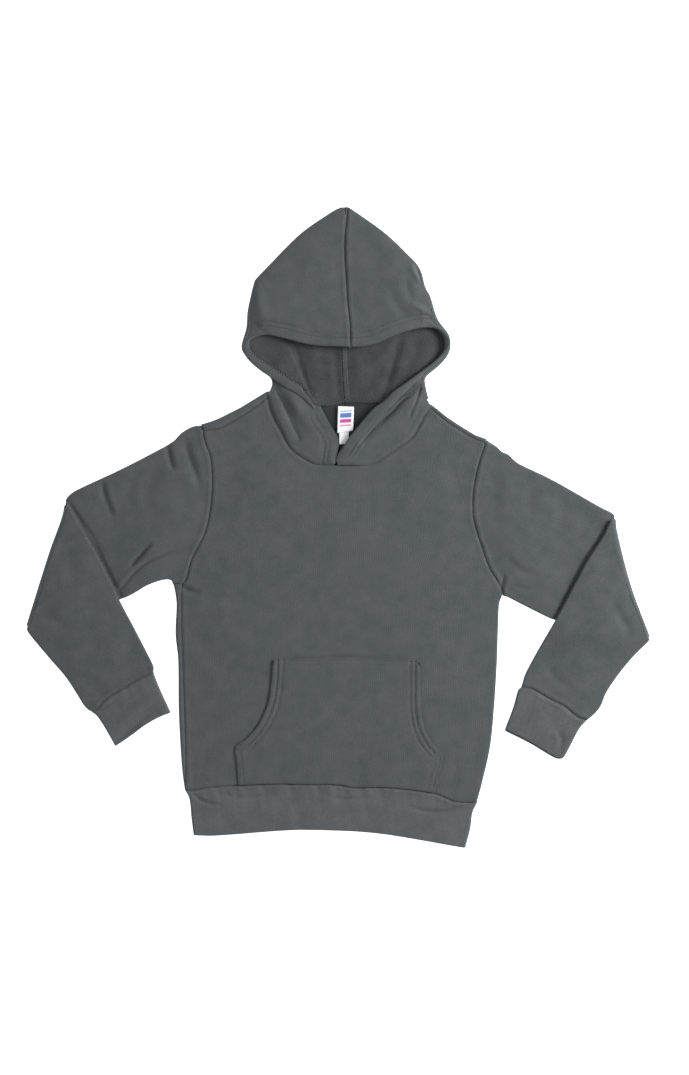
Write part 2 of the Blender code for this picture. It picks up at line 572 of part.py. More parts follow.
def make_sleeve(name, cut, side, collection):
    """One sleeve: a flattened tube from the armhole, turned over at the elbow, down to the cuff."""
    elbow_ends = Vector(cut["elbow"][-1]) - Vector(cut["elbow"][0])
    outward = Vector((-elbow_ends.y, elbow_ends.x)).normalized()
    if outward.x * side < 0:
        outward = -outward
    elbow = [Vector(point) - outward * ELBOW_AXIS_Z for point in cut["elbow"]]
    across = Vector((side * CORNER_CLEAR, 0.0))
    armhole = [point + across for point in reversed(armhole_points(cut["armhole"]))]
    top = Route([cut["tip"]] + [point[:] for point in armhole[1:-1]] + [cut["armpit"]])
    arm_a = Route([cut["tip"]] + cut["arm_a"] + [elbow[0]])
    arm_b = Route([cut["armpit"]] + cut["arm_b"] + [elbow[-1]])
    fold = Route(elbow)
    fore_a = Route([elbow[0]] + cut["fore_a"] + [cut["cuff_a"]])
    fore_b = Route([elbow[-1]] + cut["fore_b"] + [cut["cuff_b"]])
    cuff = Route([cut["cuff_a"], cut["cuff_dip"], cut["cuff_b"]])
    upper_arm = patch(top.at, fold.at, arm_a.at, arm_b.at)
    forearm = patch(fold.at, cuff.at, fore_a.at, fore_b.at)
    under_start, under_end = Vector(cut["arm_b"][2]), elbow[-1]
    along = (under_end - under_start).normalized()
    below = Vector((-along.y, along.x))
    if below.y > 0:
        below = -below
    drop = 2 * ELBOW_AXIS_Z - TOP_Z - FLOOR_Z
    ring = ring_shares(ARMHOLE_STEPS)
    arm_rows = spread(0.0, 1.0, ARM_ROWS)
    turns = [math.pi * k / ELBOW_ROWS for k in range(1, ELBOW_ROWS)]

    def place(i, j):
        share, level = ring[i]
        height = FLOOR_Z + (TOP_Z - FLOOR_Z) * level
        if j < len(arm_rows):
            v = arm_rows[j]
            if j > 0 or level == 0.5:
                spot = ring_point(upper_arm, v, share, level, INSET, FLEECE / 2)
            else:
                spot = armhole[round(share * ARMHOLE_STEPS)]
            swell = math.sin(math.pi * min(v / PUFF_REACH, 1.0)) ** 2 * (1 - (2 * share - 1) ** 2)
            return spot.x, spot.y, height + SLEEVE_PUFF * swell * (level == 1.0)
        reach = ELBOW_AXIS_Z - height
        if j < len(arm_rows) + len(turns):
            angle = turns[j - len(arm_rows)]
            spot = ring_point(upper_arm, 1.0, share, level, INSET, FLEECE / 2)
            spot = spot + outward * reach * math.sin(angle)
            return spot.x, spot.y, ELBOW_AXIS_Z - reach * math.cos(angle)
        v = FOREARM_ROWS[j - len(arm_rows) - len(turns)]
        spot = ring_point(forearm, v, share, level, INSET, FLEECE / 2)
        past = (spot - under_start).dot(below)
        down = drop * ease(past, DROP_FROM, DROP_RUN)
        swell = math.sin(math.pi * v) ** 2 * (1 - (2 * share - 1) ** 2) * (level == 0.0)
        return spot.x, spot.y, ELBOW_AXIS_Z + reach - down + SLEEVE_PUFF * swell

    mesh = sheet(len(ring), len(arm_rows) + len(turns) + len(FOREARM_ROWS), place)
    return garment_piece(name, mesh, FLEECE, SLATE, NAPPED, collection)


# ---------------------------------------------------------------- hood
def neck_side(seam, k):
    """Point k of a neck seam, moved across the seam's gap onto the hood."""
    low, high = max(k - 1, 0), min(k + 1, len(seam) - 1)
    along = (Vector(seam[high]) - Vector(seam[low])).normalized()
    gap = 2 * SEAM if low < k < high else CORNER_CLEAR
    return Vector(seam[k]) + Vector((-along.y, along.x)) * gap


def seam_or_point(seam, entry):
    """Plan point of a hood table's entry: a whole number stands for a point of the neck seam."""
    return neck_side(seam, entry) if isinstance(entry, int) else Vector(entry)


def make_hood(name, table, side, collection):
    """One half of the hood: the part that lies on the surface, and the part turned up over it."""
    outer = [seam_or_point(NECK_FRONT, row[0]) for row in table]
    hem = [Vector(row[1]) for row in table]
    fold_rows = sum(1 for row in table if row[2] is not None)
    last = len(table) - 1

    def inward(j):
        """Direction into the cloth from the fold at one row."""
        low, high = max(j - 1, 0), min(j + 1, last)
        along = (outer[high] - outer[low]).normalized()
        normal = Vector((-along.y, along.x))
        return normal if normal.dot(hem[j] - outer[j]) > 0 else -normal

    def start(j, angle):
        """Point of the fold at one row: 0 on the surface, pi on top."""
        roll = table[j][3]
        if j == 0:
            direction = Vector((0.0, -1.0))
        else:
            direction = inward(j)
        inset = FLEECE / 2 + roll * (1 - math.sin(angle))
        spot = outer[j] + direction * inset
        return Vector((spot.x, spot.y, FLOOR_Z + roll * (1 - math.cos(angle))))

    def lap(x):
        """Lift of the wearer's left collar where it lies over the right one."""
        return NECK_LIFT * (1 - ease(x, LAP_FROM, LAP_TO)) if side > 0 else 0.0

    def upper(i, j):
        rim = Vector((hem[j].x, hem[j].y, table[j][4]))
        if j < fold_rows:
            if i <= 2:
                return start(j, math.pi * i / 2)
            first = start(j, math.pi)
        else:
            lifted = TOP_Z + lap(outer[j].x)
            first = Vector((outer[j].x, outer[j].y, lifted))
            share = i / (HOOD_COLUMNS + 2)
            return first * (1 - share) + rim * share
        t = (i - 2) / HOOD_COLUMNS
        puff = CROWN_PUFF * math.sin(math.pi * t) * math.sqrt(math.sin(math.pi * min(j / CROWN_ROWS, 1.0)))
        spot = first * (1 - t) + rim * t
        return spot.x, spot.y, spot.z + puff

    def under(i, j):
        if j >= fold_rows:
            return Vector(upper(0, j))
        target = start(j, 0.0)
        if j == 0:
            return target
        back = seam_or_point(NECK_BACK, table[j][2]).to_3d() + Vector((0.0, 0.0, FLOOR_Z))
        t = i / HOOD_COLUMNS
        spot = back * (1 - t) + target * t
        step = ease(t, *FOLD_STEP) * (1 - ease(t, *FOLD_END)) * (side < 0)
        step *= ease(j, *FOLD_FIRST) * (1 - ease(j, *FOLD_LAST))
        return spot.x, spot.y, spot.z + INNER_FOLD * step

    mesh = joined(sheet(HOOD_COLUMNS + 3, len(table), upper), sheet(HOOD_COLUMNS + 1, fold_rows + 1, under))
    return garment_piece(name, mesh, FLEECE, SLATE, NAPPED, collection)


# ---------------------------------------------------------------- labels
def make_label(name, box, height, collection):
    """Flat woven label that lies on the inside of the back."""
    left, right, low, high = box

    def place(i, j):
        return left + (right - left) * i, low + (high - low) * j, height

    return garment_piece(name, sheet(2, 2, place), LABEL_WALL, WHITE, SATIN, collection)


def main():
    """Build the garment, one named object for each sewn piece."""
    for thing in list(bpy.data.objects):
        bpy.data.objects.remove(thing)
    garment = bpy.data.collections.new("toddler_hoodie")
    bpy.context.scene.collection.children.link(garment)
    make_front(garment)
    make_back(garment)
    make_pocket(garment)
    make_hem(garment)
    make_sleeve("sleeve_right", SLEEVE_RIGHT, -1, garment)
    make_sleeve("sleeve_left", SLEEVE_LEFT, 1, garment)
    make_cuff("cuff_right", SLEEVE_RIGHT, garment)
    make_cuff("cuff_left", SLEEVE_LEFT, garment)
    make_hood("hood_right", HOOD_RIGHT, -1, garment)
    make_hood("hood_left", HOOD_LEFT, 1, garment)
    tab_z = FLEECE + SEAM + LABEL_WALL / 2
    make_label("size_tab", TAB_BOX, tab_z, garment)
    make_label("neck_label", LABEL_BOX, tab_z + LABEL_WALL + SEAM, garment)


main()
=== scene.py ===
"""Looks of a toddler's hoodie in brushed fleece, laid flat with its sleeves folded at the elbow.

World frame: the garment lies on z = 0 and faces up. +Y runs from the hem to the hood, +X is the
wearer's left. Sizes are in millimetres until a sheet becomes a mesh. Each sewn piece is a class
that lays out its cloth as grids of points, gives them a wall and dresses them in their finish.
"""

from __future__ import annotations

import logging
import math
from dataclasses import dataclass
from enum import Enum

import bpy
import numpy as np
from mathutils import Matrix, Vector
from mathutils.bvhtree import BVHTree

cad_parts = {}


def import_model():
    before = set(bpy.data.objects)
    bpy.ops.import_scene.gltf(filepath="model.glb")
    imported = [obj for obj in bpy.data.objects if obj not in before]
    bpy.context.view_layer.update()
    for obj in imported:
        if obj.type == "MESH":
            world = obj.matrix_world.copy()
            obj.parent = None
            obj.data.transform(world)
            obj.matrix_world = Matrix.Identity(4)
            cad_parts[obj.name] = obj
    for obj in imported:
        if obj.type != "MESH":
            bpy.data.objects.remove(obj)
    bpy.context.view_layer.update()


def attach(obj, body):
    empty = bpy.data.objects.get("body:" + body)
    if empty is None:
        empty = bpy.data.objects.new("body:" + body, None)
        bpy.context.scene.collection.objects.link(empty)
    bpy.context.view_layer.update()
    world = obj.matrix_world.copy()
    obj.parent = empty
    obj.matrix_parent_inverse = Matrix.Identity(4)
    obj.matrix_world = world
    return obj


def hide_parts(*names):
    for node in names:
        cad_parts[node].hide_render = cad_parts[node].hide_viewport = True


LOG = logging.getLogger("hoodie")
MM = 0.001
Points = tuple[tuple[float, ...], ...]
Array = np.ndarray

# ------------------------------------------------------------------ heights and walls, millimetres
WALL = 1.7             # brushed fleece
FAR = 1e6              # further than anything
FLOOR_Z = 1.0          # middle of the cloth that lies on the surface
TOP_Z = 3.6            # middle of the upper layer at its edges
ROLL = (TOP_Z - FLOOR_Z) / 2
INSET = 1.0 + ROLL     # from a folded edge to the line that the cloth turns about
BETWEEN = 5.0          # a height between the two layers of the hood
SEAM = 0.3             # between two pieces that are sewn together
EDGE_STEPS = (0.0, 0.4, 0.8, 1.3, 1.9, 2.7, 3.7, 5.0)
NEEDLES = (9.2, 13.6)  # the two rows of top stitching, from the edge of the hood
TUCKED = np.array([2.0, 5.0, 9.0])   # rows of a hood hem that is turned in, from its folded edge

# ------------------------------------------------------------------ lines of the cut, millimetres
ARMHOLE_RIGHT = ((-156.4, -56.6), (-153.4, -54.2), (-150.4, -46.1), (-146.4, -31.1), (-134.9, -8.1), (-128.4, 15.9),
                 (-126, 42.9), (-128, 71.4), (-131.4, 79.9), (-134.7, 90.9), (-134.9, 97))
ARMHOLE_LEFT = ((164.2, -66.1), (159.6, -55.1), (150.6, -40.1), (144.1, -22.1), (137.6, -2.1),
                (134.1, 15.9), (135.2, 40.9), (141.6, 69.9), (145.6, 81.4), (146, 85.4))
# Shoulders: place across, folded edge of the back panel, seam that lies on top.
SHOULDER_RIGHT = ((-134.9, 103.5, 97.0), (-119.4, 109.4, 99.4), (-97.4, 120.4, 111.4),
                  (-82.4, 129.6, 121.4), (-71.2, 136.4, 130.3))
SHOULDER_LEFT = ((92.0, 123.9, 119.2), (108.6, 110.6, 105.4), (122.6, 101.4, 96.4),
                 (136.6, 92.9, 88.3), (146.0, 88.9, 85.4))
NECK_FRONT = ((-71.2, 130.3), (-66.8, 114.9), (-57.4, 95.9), (-47.9, 78.9), (-34.4, 68.9), (-23.4, 63.3),
              (-4.4, 62.7), (11.6, 62.7), (30.6, 63.3), (39.6, 66.9), (54.6, 76.9), (72.6, 89.9),
              (81.6, 103.9), (85.6, 111.9), (92, 119.2))
NECK_BACK = ((-68.4, 128.4), (-44.4, 122.9), (-13.4, 121.7), (7.8, 125.3), (36.6, 125.1), (64.6, 124),
             (89, 120))
HEM_SEAM = ((-153.6, -261), (-147.4, -262.4), (-131.4, -259.8), (-99.4, -257.1), (-57.4, -255.4),
            (-36.4, -256.1), (-0.4, -256.3), (15.6, -259.2), (45.6, -258.9), (68.6, -261.1),
            (95.6, -265.1), (116.6, -273.4), (139, -274))
HEM_EDGE = ((-144.7, -307.1), (-123.4, -307.5), (-45.4, -301.9), (-2.4, -302.4), (23.6, -303.7),
            (52.6, -307), (126.8, -319.8))
HEM_END_RIGHT = ((-153.6, -261), (-149, -270.1), (-146.8, -290), (-144.7, -307.1))
HEM_END_LEFT = ((139, -274), (134.2, -284), (131.9, -300.1), (126.8, -319.8))


def linear(code: str) -> tuple[float, float, float, float]:
    """Linear colour of an sRGB hex code.

    Args:
        code: six hex digits.

    Returns:
        Red, green, blue and alpha.
    """
    parts = [int(code[i:i + 2], 16) / 255 for i in (0, 2, 4)]
    return tuple(p / 12.92 if p <= 0.04045 else ((p + 0.055) / 1.055) ** 2.4 for p in parts) + (1.0,)


def ease(value: Array, low: float, high: float) -> Array:
    """Smooth step from 0 at low to 1 at high."""
    t = np.clip((value - low) / (high - low), 0.0, 1.0)
    return t * t * (3 - 2 * t)


def bell(value: Array, width: float) -> Array:
    """Smooth bump that is 1 at 0 and has all but gone two widths away."""
    return np.exp(-(value / width) ** 2)


def hump(share: Array, power: float = 1.0) -> Array:
    """Rise from 0 at both ends of a length to 1 in its middle, fuller for a power under 1."""
    return np.maximum(np.sin(math.pi * share), 0.0) ** power


def off_edges(share: Array, length: Array | float, low: float, high: float) -> Array:
    """Smooth step from 0 at low to 1 at high, measured from the nearer end of a length."""
    return ease(np.minimum(share, 1 - share) * length, low, high)


def column(table: Points, key: Array, place: int) -> Array:
    """Value of one column of a table at keys in its first column, in straight steps."""
    rows = sorted(table)
    return np.interp(key, [row[0] for row in rows], [row[place] for row in rows])


def spaced(length: float, step: float, first: bool = True, last: bool = True) -> Array:
    """Shares of a length, a step apart, closer together beside the ends that are asked for.

    Args:
        length: the length in millimetres.
        step: distance between two points away from the ends.
        first: whether the points crowd at the start.
        last: whether the points crowd at the end.

    Returns:
        Growing shares from 0 to 1.
    """
    start = np.array(EDGE_STEPS if first else (0.0,))
    end = np.array(EDGE_STEPS if last else (0.0,))
    if length < 2 * EDGE_STEPS[-1] + step:
        return np.linspace(0.0, 1.0, max(int(length / step * 2), 4) + 1)
    count = max(int(round((length - start[-1] - end[-1]) / step)), 1)
    middle = np.linspace(start[-1], length - end[-1], count + 1)
    return np.concatenate([start[:-1], middle, length - end[::-1][1:]]) / length


def wander(x: Array, y: Array, seed: int, size: float) -> Array:
    """Slow, uneven rise and fall of cloth that was smoothed by hand.

    Args:
        x: places across.
        y: places along.
        seed: which of many such surfaces.
        size: typical distance from crest to crest.

    Returns:
        Heights of about -1 to 1.
    """
    dice = np.random.default_rng(seed)
    total = np.zeros_like(x)
    for _ in range(7):
        angle, phase = dice.uniform(0, 2 * math.pi, 2)
        reach = size * dice.uniform(0.6, 1.7)
        total += np.sin((x * math.cos(angle) + y * math.sin(angle)) * 2 * math.pi / reach + phase)
    return total / 3.2


def leftward(path: Array) -> Array:
    """Unit vectors to the left of a path, one at each of its points."""
    along = np.gradient(path, axis=0)
    along /= np.maximum(np.hypot(*along.T), 1e-9)[:, None]
    return np.stack([-along[:, 1], along[:, 0]], axis=1)


class Line:
    """A smooth line in plan through a few points."""

    def __init__(self, points: Points | Array, fineness: int = 8) -> None:
        """Lay the line.

        Args:
            points: plan points in order.
            fineness: straight steps between two of them.
        """
        knots = np.array(points, float)[:, :2]
        steps = np.hypot(*np.diff(knots, axis=0).T)
        stops = np.concatenate([[0.0], np.cumsum(steps)])
        slopes = np.empty_like(knots)
        for i in range(len(knots)):
            low, high = max(i - 1, 0), min(i + 1, len(knots) - 1)
            slopes[i] = (knots[high] - knots[low]) / (stops[high] - stops[low])
        t = np.linspace(0, 1, fineness, endpoint=False)[:, None]
        runs = []
        for a, b, da, db, span in zip(knots, knots[1:], slopes, slopes[1:], steps):
            runs.append(a * (2 * t**3 - 3 * t**2 + 1) + da * span * (t**3 - 2 * t**2 + t)
                        + b * (3 * t**2 - 2 * t**3) + db * span * (t**3 - t**2))
        self.lay(np.concatenate(runs + [knots[-1:]]))

    def lay(self, path: Array) -> None:
        """Take a fine path and measure it."""
        self.path = path
        self.stops = np.concatenate([[0.0], np.cumsum(np.hypot(*np.diff(path, axis=0).T))])
        self.length = self.stops[-1]

    def at(self, shares: Array) -> Array:
        """Plan points at shares of the length."""
        reach = np.asarray(shares, float) * self.length
        return np.stack([np.interp(reach, self.stops, self.path[:, k]) for k in (0, 1)], axis=-1)

    def shifted(self, gap: float) -> "Line":
        """The line moved to its left by a gap."""
        moved = Line(((0, 0), (1, 0)))
        moved.lay(self.path + leftward(self.path) * gap)
        return moved

    def near(self, x: Array, y: Array, reach: float) -> tuple[Array, Array, Array]:
        """How points lie to the line.

        Args:
            x: places across.
            y: places along.
            reach: points further off than this may be left at the distance FAR.

        Returns:
            Distance, share along the line, and side: 1 on the left, -1 on the right.
        """
        px, py = x.ravel(), y.ravel()
        away, share, side = np.full(px.size, FAR), np.zeros(px.size), np.ones(px.size)
        low, high = self.path.min(0) - reach, self.path.max(0) + reach
        close = np.flatnonzero((px > low[0]) & (px < high[0]) & (py > low[1]) & (py < high[1]))
        start, run = self.path[:-1], np.diff(self.path, axis=0)
        size = np.maximum((run**2).sum(1), 1e-12)
        for pick in np.array_split(close, max(close.size // 4000, 1)):   # a few at a time, to spare memory
            if not pick.size:
                continue
            off = np.stack([px[pick], py[pick]], 1)[:, None, :] - start[None]
            t = np.clip((off * run).sum(-1) / size, 0, 1)
            gap = off - t[..., None] * run
            squared = (gap**2).sum(-1)
            best = squared.argmin(1)
            every = np.arange(pick.size)
            away[pick] = np.sqrt(squared[every, best])
            share[pick] = (self.stops[best] + t[every, best] * np.sqrt(size[best])) / self.length
            turn = run[best, 0] * off[every, best, 1] - run[best, 1] * off[every, best, 0]
            side[pick] = np.where(turn >= 0, 1.0, -1.0)
        return away.reshape(x.shape), share.reshape(x.shape), side.reshape(x.shape)


@dataclass(frozen=True)
class Crease:
    """One soft fold of the cloth: a trough where its depth is negative, a ridge where it is positive."""

    line: Points
    width: float
    depth: float
    lip: float = 0.0         # a low ridge beside it
    lip_side: float = 1.0    # 1 for a ridge on the left, -1 on the right

    def height(self, x: Array, y: Array) -> Array:
        """Rise of the cloth over the crease, which fades towards its ends."""
        away, share, side = Line(self.line).near(x, y, 5 * self.width)
        beside = bell(away * side * self.lip_side - 2 * self.width, 1.3 * self.width)
        return (self.depth * bell(away, self.width) + self.lip * beside) * hump(share, 0.6)


@dataclass(frozen=True)
class SeamDip:
    """The way that cloth is drawn down into a seam, with a low swell beside it."""

    line: Line
    depth: float = 0.9
    width: float = 0.9
    swell: float = 0.35
    swell_at: float = 3.0

    def height(self, x: Array, y: Array) -> Array:
        """Rise of the cloth beside the seam."""
        away, _, _ = self.line.near(x, y, 9.0)
        return -self.depth * bell(away, self.width) + self.swell * bell(away - self.swell_at, 1.6)


def relief_at(shapes: tuple[Crease | SeamDip, ...], x: Array, y: Array) -> Array:
    """Rise of the cloth over all of some creases and seams."""
    return sum((shape.height(x, y) for shape in shapes), np.zeros_like(x))


@dataclass
class Sheet:
    """Cloth as rows and columns of points, in millimetres, whose outer face is to the grid's front."""

    x: Array
    y: Array
    z: Array

    def relief(self, *shapes: Crease | SeamDip) -> "Sheet":
        """Add the rise of each crease and seam."""
        self.z = self.z + relief_at(shapes, self.x, self.y)
        return self

    def turned(self) -> "Sheet":
        """The same cloth with its outer face to the other side."""
        return Sheet(self.x[:, ::-1], self.y[:, ::-1], self.z[:, ::-1])

    def arc(self, axis: int) -> Array:
        """Distance run along the cloth by each point, across (1) or along (0)."""
        steps = np.sqrt(sum(np.diff(part, axis=axis) ** 2 for part in (self.x, self.y, self.z)))
        run = np.cumsum(steps, axis=axis)
        pad = np.zeros_like(np.take(run, [0], axis=axis))
        run = np.concatenate([pad, run], axis=axis)
        return run - run.mean(axis=axis, keepdims=True)


def coons(low: Array, high: Array, start: Array, end: Array, u: Array, v: Array) -> tuple[Array, Array]:
    """Plan of a four-sided panel.

    Args:
        low: points of the lower edge at the shares u.
        high: points of the upper edge at the shares u.
        start: points of the edge at u = 0, at the shares v.
        end: points of the edge at u = 1, at the shares v.
        u: shares across.
        v: shares along.

    Returns:
        x and y, a row for each v and a column for each u.
    """
    s, t = u[None, :, None], v[:, None, None]
    ruled = low[None] * (1 - t) + high[None] * t + start[:, None] * (1 - s) + end[:, None] * s
    flat = (low[0] * (1 - s) + low[-1] * s) * (1 - t) + (high[0] * (1 - s) + high[-1] * s) * t
    plan = ruled - flat
    return plan[..., 0], plan[..., 1]


def fine_plan(low: Line, high: Line, start: Line, end: Line, steps: int) -> tuple[Array, Array]:
    """Plan of a four-sided panel between four lines, fine enough to sample from."""
    fan = np.linspace(0, 1, steps)
    return coons(low.at(fan), high.at(fan), start.at(fan), end.at(fan), fan, fan)


def sample(grid: Array, rows: Array, columns: Array) -> Array:
    """Values of a fine grid at shares of its rows and columns, in straight steps."""
    r = np.clip(rows, 0, 1) * (grid.shape[0] - 1)
    c = np.clip(columns, 0, 1) * (grid.shape[1] - 1)
    r0 = np.minimum(r.astype(int), grid.shape[0] - 2)
    c0 = np.minimum(c.astype(int), grid.shape[1] - 2)
    fr, fc = r - r0, c - c0
    return ((grid[r0, c0] * (1 - fc) + grid[r0, c0 + 1] * fc) * (1 - fr)
            + (grid[r0 + 1, c0] * (1 - fc) + grid[r0 + 1, c0 + 1] * fc) * fr)


def around(across: Array, bends: int) -> tuple[Array, Array]:
    """The way round a flattened tube: over its upper side, round a bend and back under it.

    Args:
        across: shares across the flat sides.
        bends: points of each bend between the sides.

    Returns:
        Shares across, and angles that grow from 0 on the upper side to a full turn.
    """
    bend = np.linspace(0, math.pi, bends + 2)[1:-1]
    share = np.concatenate([across, np.ones(bends), across[::-1], np.zeros(bends), [0.0]])
    angle = np.concatenate([0 * across, bend, 0 * across + math.pi, math.pi + bend, [2 * math.pi]])
    return share, angle


def fold_over(distance: Array, radius: float) -> tuple[Array, Array]:
    """Offset past a fold's axis and turn in height, for cloth laid a distance past that axis."""
    angle = np.clip(distance / radius, 0, math.pi)
    past = np.where(distance <= 0, distance, radius * np.sin(angle) - np.maximum(distance - math.pi * radius, 0))
    return past, radius * (1 - np.cos(angle))


def lapped() -> tuple[Array, Array, Array]:
    """Cloth that turns up over a folded edge and lies back to a seam.

    Returns:
        Offset past the fold's axis, rise, and share of the way from the axis to the seam, for each row.
    """
    steps = np.append(np.linspace(0, 1, 8), (1.25, 1.5, 1.75, 2.0))
    past, rise = fold_over(np.minimum(steps, 1) * math.pi * ROLL, ROLL)
    return past, rise, np.maximum(steps - 1, 0)


# ------------------------------------------------------------------ finishes
def node(tree: bpy.types.NodeTree, kind: str, settings: dict | None = None, **links: object) -> bpy.types.Node:
    """Add one shader node with its settings, its values and its links.

    Args:
        tree: the material's nodes.
        kind: the node's type.
        settings: attributes of the node.
        links: a socket or a value for each input, named in lower case with _ for a blank, or in_N.

    Returns:
        The node.
    """
    made = tree.nodes.new(kind)
    for key, value in (settings or {}).items():
        setattr(made, key, value)
    plug(tree, made, **links)
    return made


def plug(tree: bpy.types.NodeTree, made: bpy.types.Node, **links: object) -> None:
    """Link or set inputs of a node, named as the function above names them."""
    for key, value in links.items():
        if key.startswith("in_"):
            socket = made.inputs[int(key[3:])]
        else:
            socket = next(s for s in made.inputs if s.name.lower().replace(" ", "_") == key)
        if isinstance(value, bpy.types.NodeSocket):
            tree.links.new(value, socket)
        else:
            socket.default_value = value


@dataclass(frozen=True)
class Finish:
    """A material, built once and shared by the pieces that it dresses."""

    name: str

    def material(self) -> bpy.types.Material:
        """The finish as a material."""
        made = bpy.data.materials.get(self.name)
        if made is None:
            made = bpy.data.materials.new(self.name)
            made.use_nodes = True
            self.dress(made.node_tree, made.node_tree.nodes["Principled BSDF"])
        return made

    def dress(self, tree: bpy.types.NodeTree, shader: bpy.types.Node) -> None:
        """Give the shader its colour and surface."""
        raise NotImplementedError


@dataclass(frozen=True)
class Fleece(Finish):
    """Cotton fleece, knitted with a smooth face and brushed behind.

    The face is fine jersey whose loops are too small to tell apart, so the eye sees a soft, slightly
    uneven grey with faint upright wales and a dusting of paler fibre ends. It is matt, with a low sheen.
    Lengths are in millimetres.
    """

    colour: str                    # the dyed yarn
    pale: str                      # the paler fibre ends
    nap: float                     # depth of the surface
    wale: float = 1.0              # strength of the knit's upright lines
    pitch: float = 1.9             # between two wales, drawn coarser than the real ones so that they show
    fleck: float = 1.7             # size of the flecks in which fibre ends gather
    fleck_rough: float = 0.65
    cloud: float = 13.0            # size of the patches over which the dye wavers
    tone_shares: tuple[float, float] = (0.55, 0.45)                    # waver and flecks
    tone_map: tuple[float, float, float, float] = (0.34, 0.68, 0.0, 1.0)  # from two tones to two shares of pale
    lift: float = 0.10             # height of a wale beside that of the flecks
    bump: float = 0.8
    roughness: float = 0.92
    specular: float = 0.25
    sheen: tuple[float, float, str] = (0.22, 0.6, "AEB6BA")            # weight, roughness and tint

    def dress(self, tree: bpy.types.NodeTree, shader: bpy.types.Node) -> None:
        """Give the shader its colour and surface."""
        place = node(tree, "ShaderNodeTexCoord")
        fleck, cloud = (
            node(tree, "ShaderNodeTexNoise", {"noise_dimensions": "3D"}, vector=place.outputs["Object"],
                 scale=1000 / size, detail=detail, roughness=rough).outputs["Fac"]
            for size, detail, rough in ((self.fleck, 3.0, self.fleck_rough), (self.cloud, 2.0, 0.5)))
        along = node(tree, "ShaderNodeSeparateXYZ", vector=place.outputs["UV"])
        turn = node(tree, "ShaderNodeMath", {"operation": "MULTIPLY"}, in_0=along.outputs["X"],
                    in_1=2 * math.pi * 1000 / self.pitch)
        wale = node(tree, "ShaderNodeMath", {"operation": "SINE"}, in_0=turn.outputs[0]).outputs[0]
        tone = 0.0
        for part, share in ((cloud, self.tone_shares[0]), (fleck, self.tone_shares[1]), (wale, 0.02 * self.wale)):
            tone = node(tree, "ShaderNodeMath", {"operation": "MULTIPLY_ADD"}, in_0=part, in_1=share,
                        in_2=tone).outputs[0]
        limits = dict(zip(("from_min", "from_max", "to_min", "to_max"), self.tone_map))
        share = node(tree, "ShaderNodeMapRange", value=tone, **limits)
        colour = node(tree, "ShaderNodeMix", {"data_type": "RGBA"}, in_0=share.outputs[0],
                      in_6=linear(self.colour), in_7=linear(self.pale))
        lift = node(tree, "ShaderNodeMath", {"operation": "MULTIPLY_ADD"}, in_0=wale,
                    in_1=self.lift * self.wale, in_2=fleck)
        bump = node(tree, "ShaderNodeBump", strength=self.bump, distance=self.nap * MM, height=lift.outputs[0])
        weight, rough, tint = self.sheen
        plug(tree, shader, base_color=colour.outputs[2], normal=bump.outputs[0], roughness=self.roughness,
             specular_ior_level=self.specular, sheen_weight=weight, sheen_roughness=rough, sheen_tint=linear(tint))


@dataclass(frozen=True)
class Rib(Fleece):
    """Fine rib knit in cotton: upright ridges, smoother and a little paler than the fleece.

    The ridges are drawn 2.4 mm apart, coarser than the real 1.6 mm, so that they show.
    """

    nap: float = 0.25
    pitch: float = 2.4
    fleck: float = 2.2
    fleck_rough: float = 0.6
    cloud: float = 17.0
    tone_shares: tuple[float, float] = (1.0, 1.0)
    tone_map: tuple[float, float, float, float] = (0.75, 1.25, 0.15, 0.85)
    lift: float = 0.12
    bump: float = 0.7
    roughness: float = 0.85
    specular: float = 0.3
    sheen: tuple[float, float, str] = (0.18, 0.5, "B4BCC0")


@dataclass(frozen=True)
class Thread(Finish):
    """Spun polyester sewing thread: a shade off the cloth, with a slight lustre."""

    colour: str   # the dye

    def dress(self, tree: bpy.types.NodeTree, shader: bpy.types.Node) -> None:
        """Give the shader its colour and surface."""
        place = node(tree, "ShaderNodeTexCoord")
        ply = node(tree, "ShaderNodeTexNoise", {"noise_dimensions": "3D"}, vector=place.outputs["Object"],
                   scale=1000 / 0.9, detail=1.0)   # plies 0.9 mm long
        share = node(tree, "ShaderNodeMapRange", value=ply.outputs["Fac"], from_min=0.3, from_max=0.7)
        bright = linear(self.colour)
        dark = tuple(0.8 * part for part in bright[:3]) + (1.0,)
        colour = node(tree, "ShaderNodeMix", {"data_type": "RGBA"}, in_0=share.outputs[0], in_6=dark, in_7=bright)
        plug(tree, shader, base_color=colour.outputs[2], roughness=0.55, specular_ior_level=0.4)


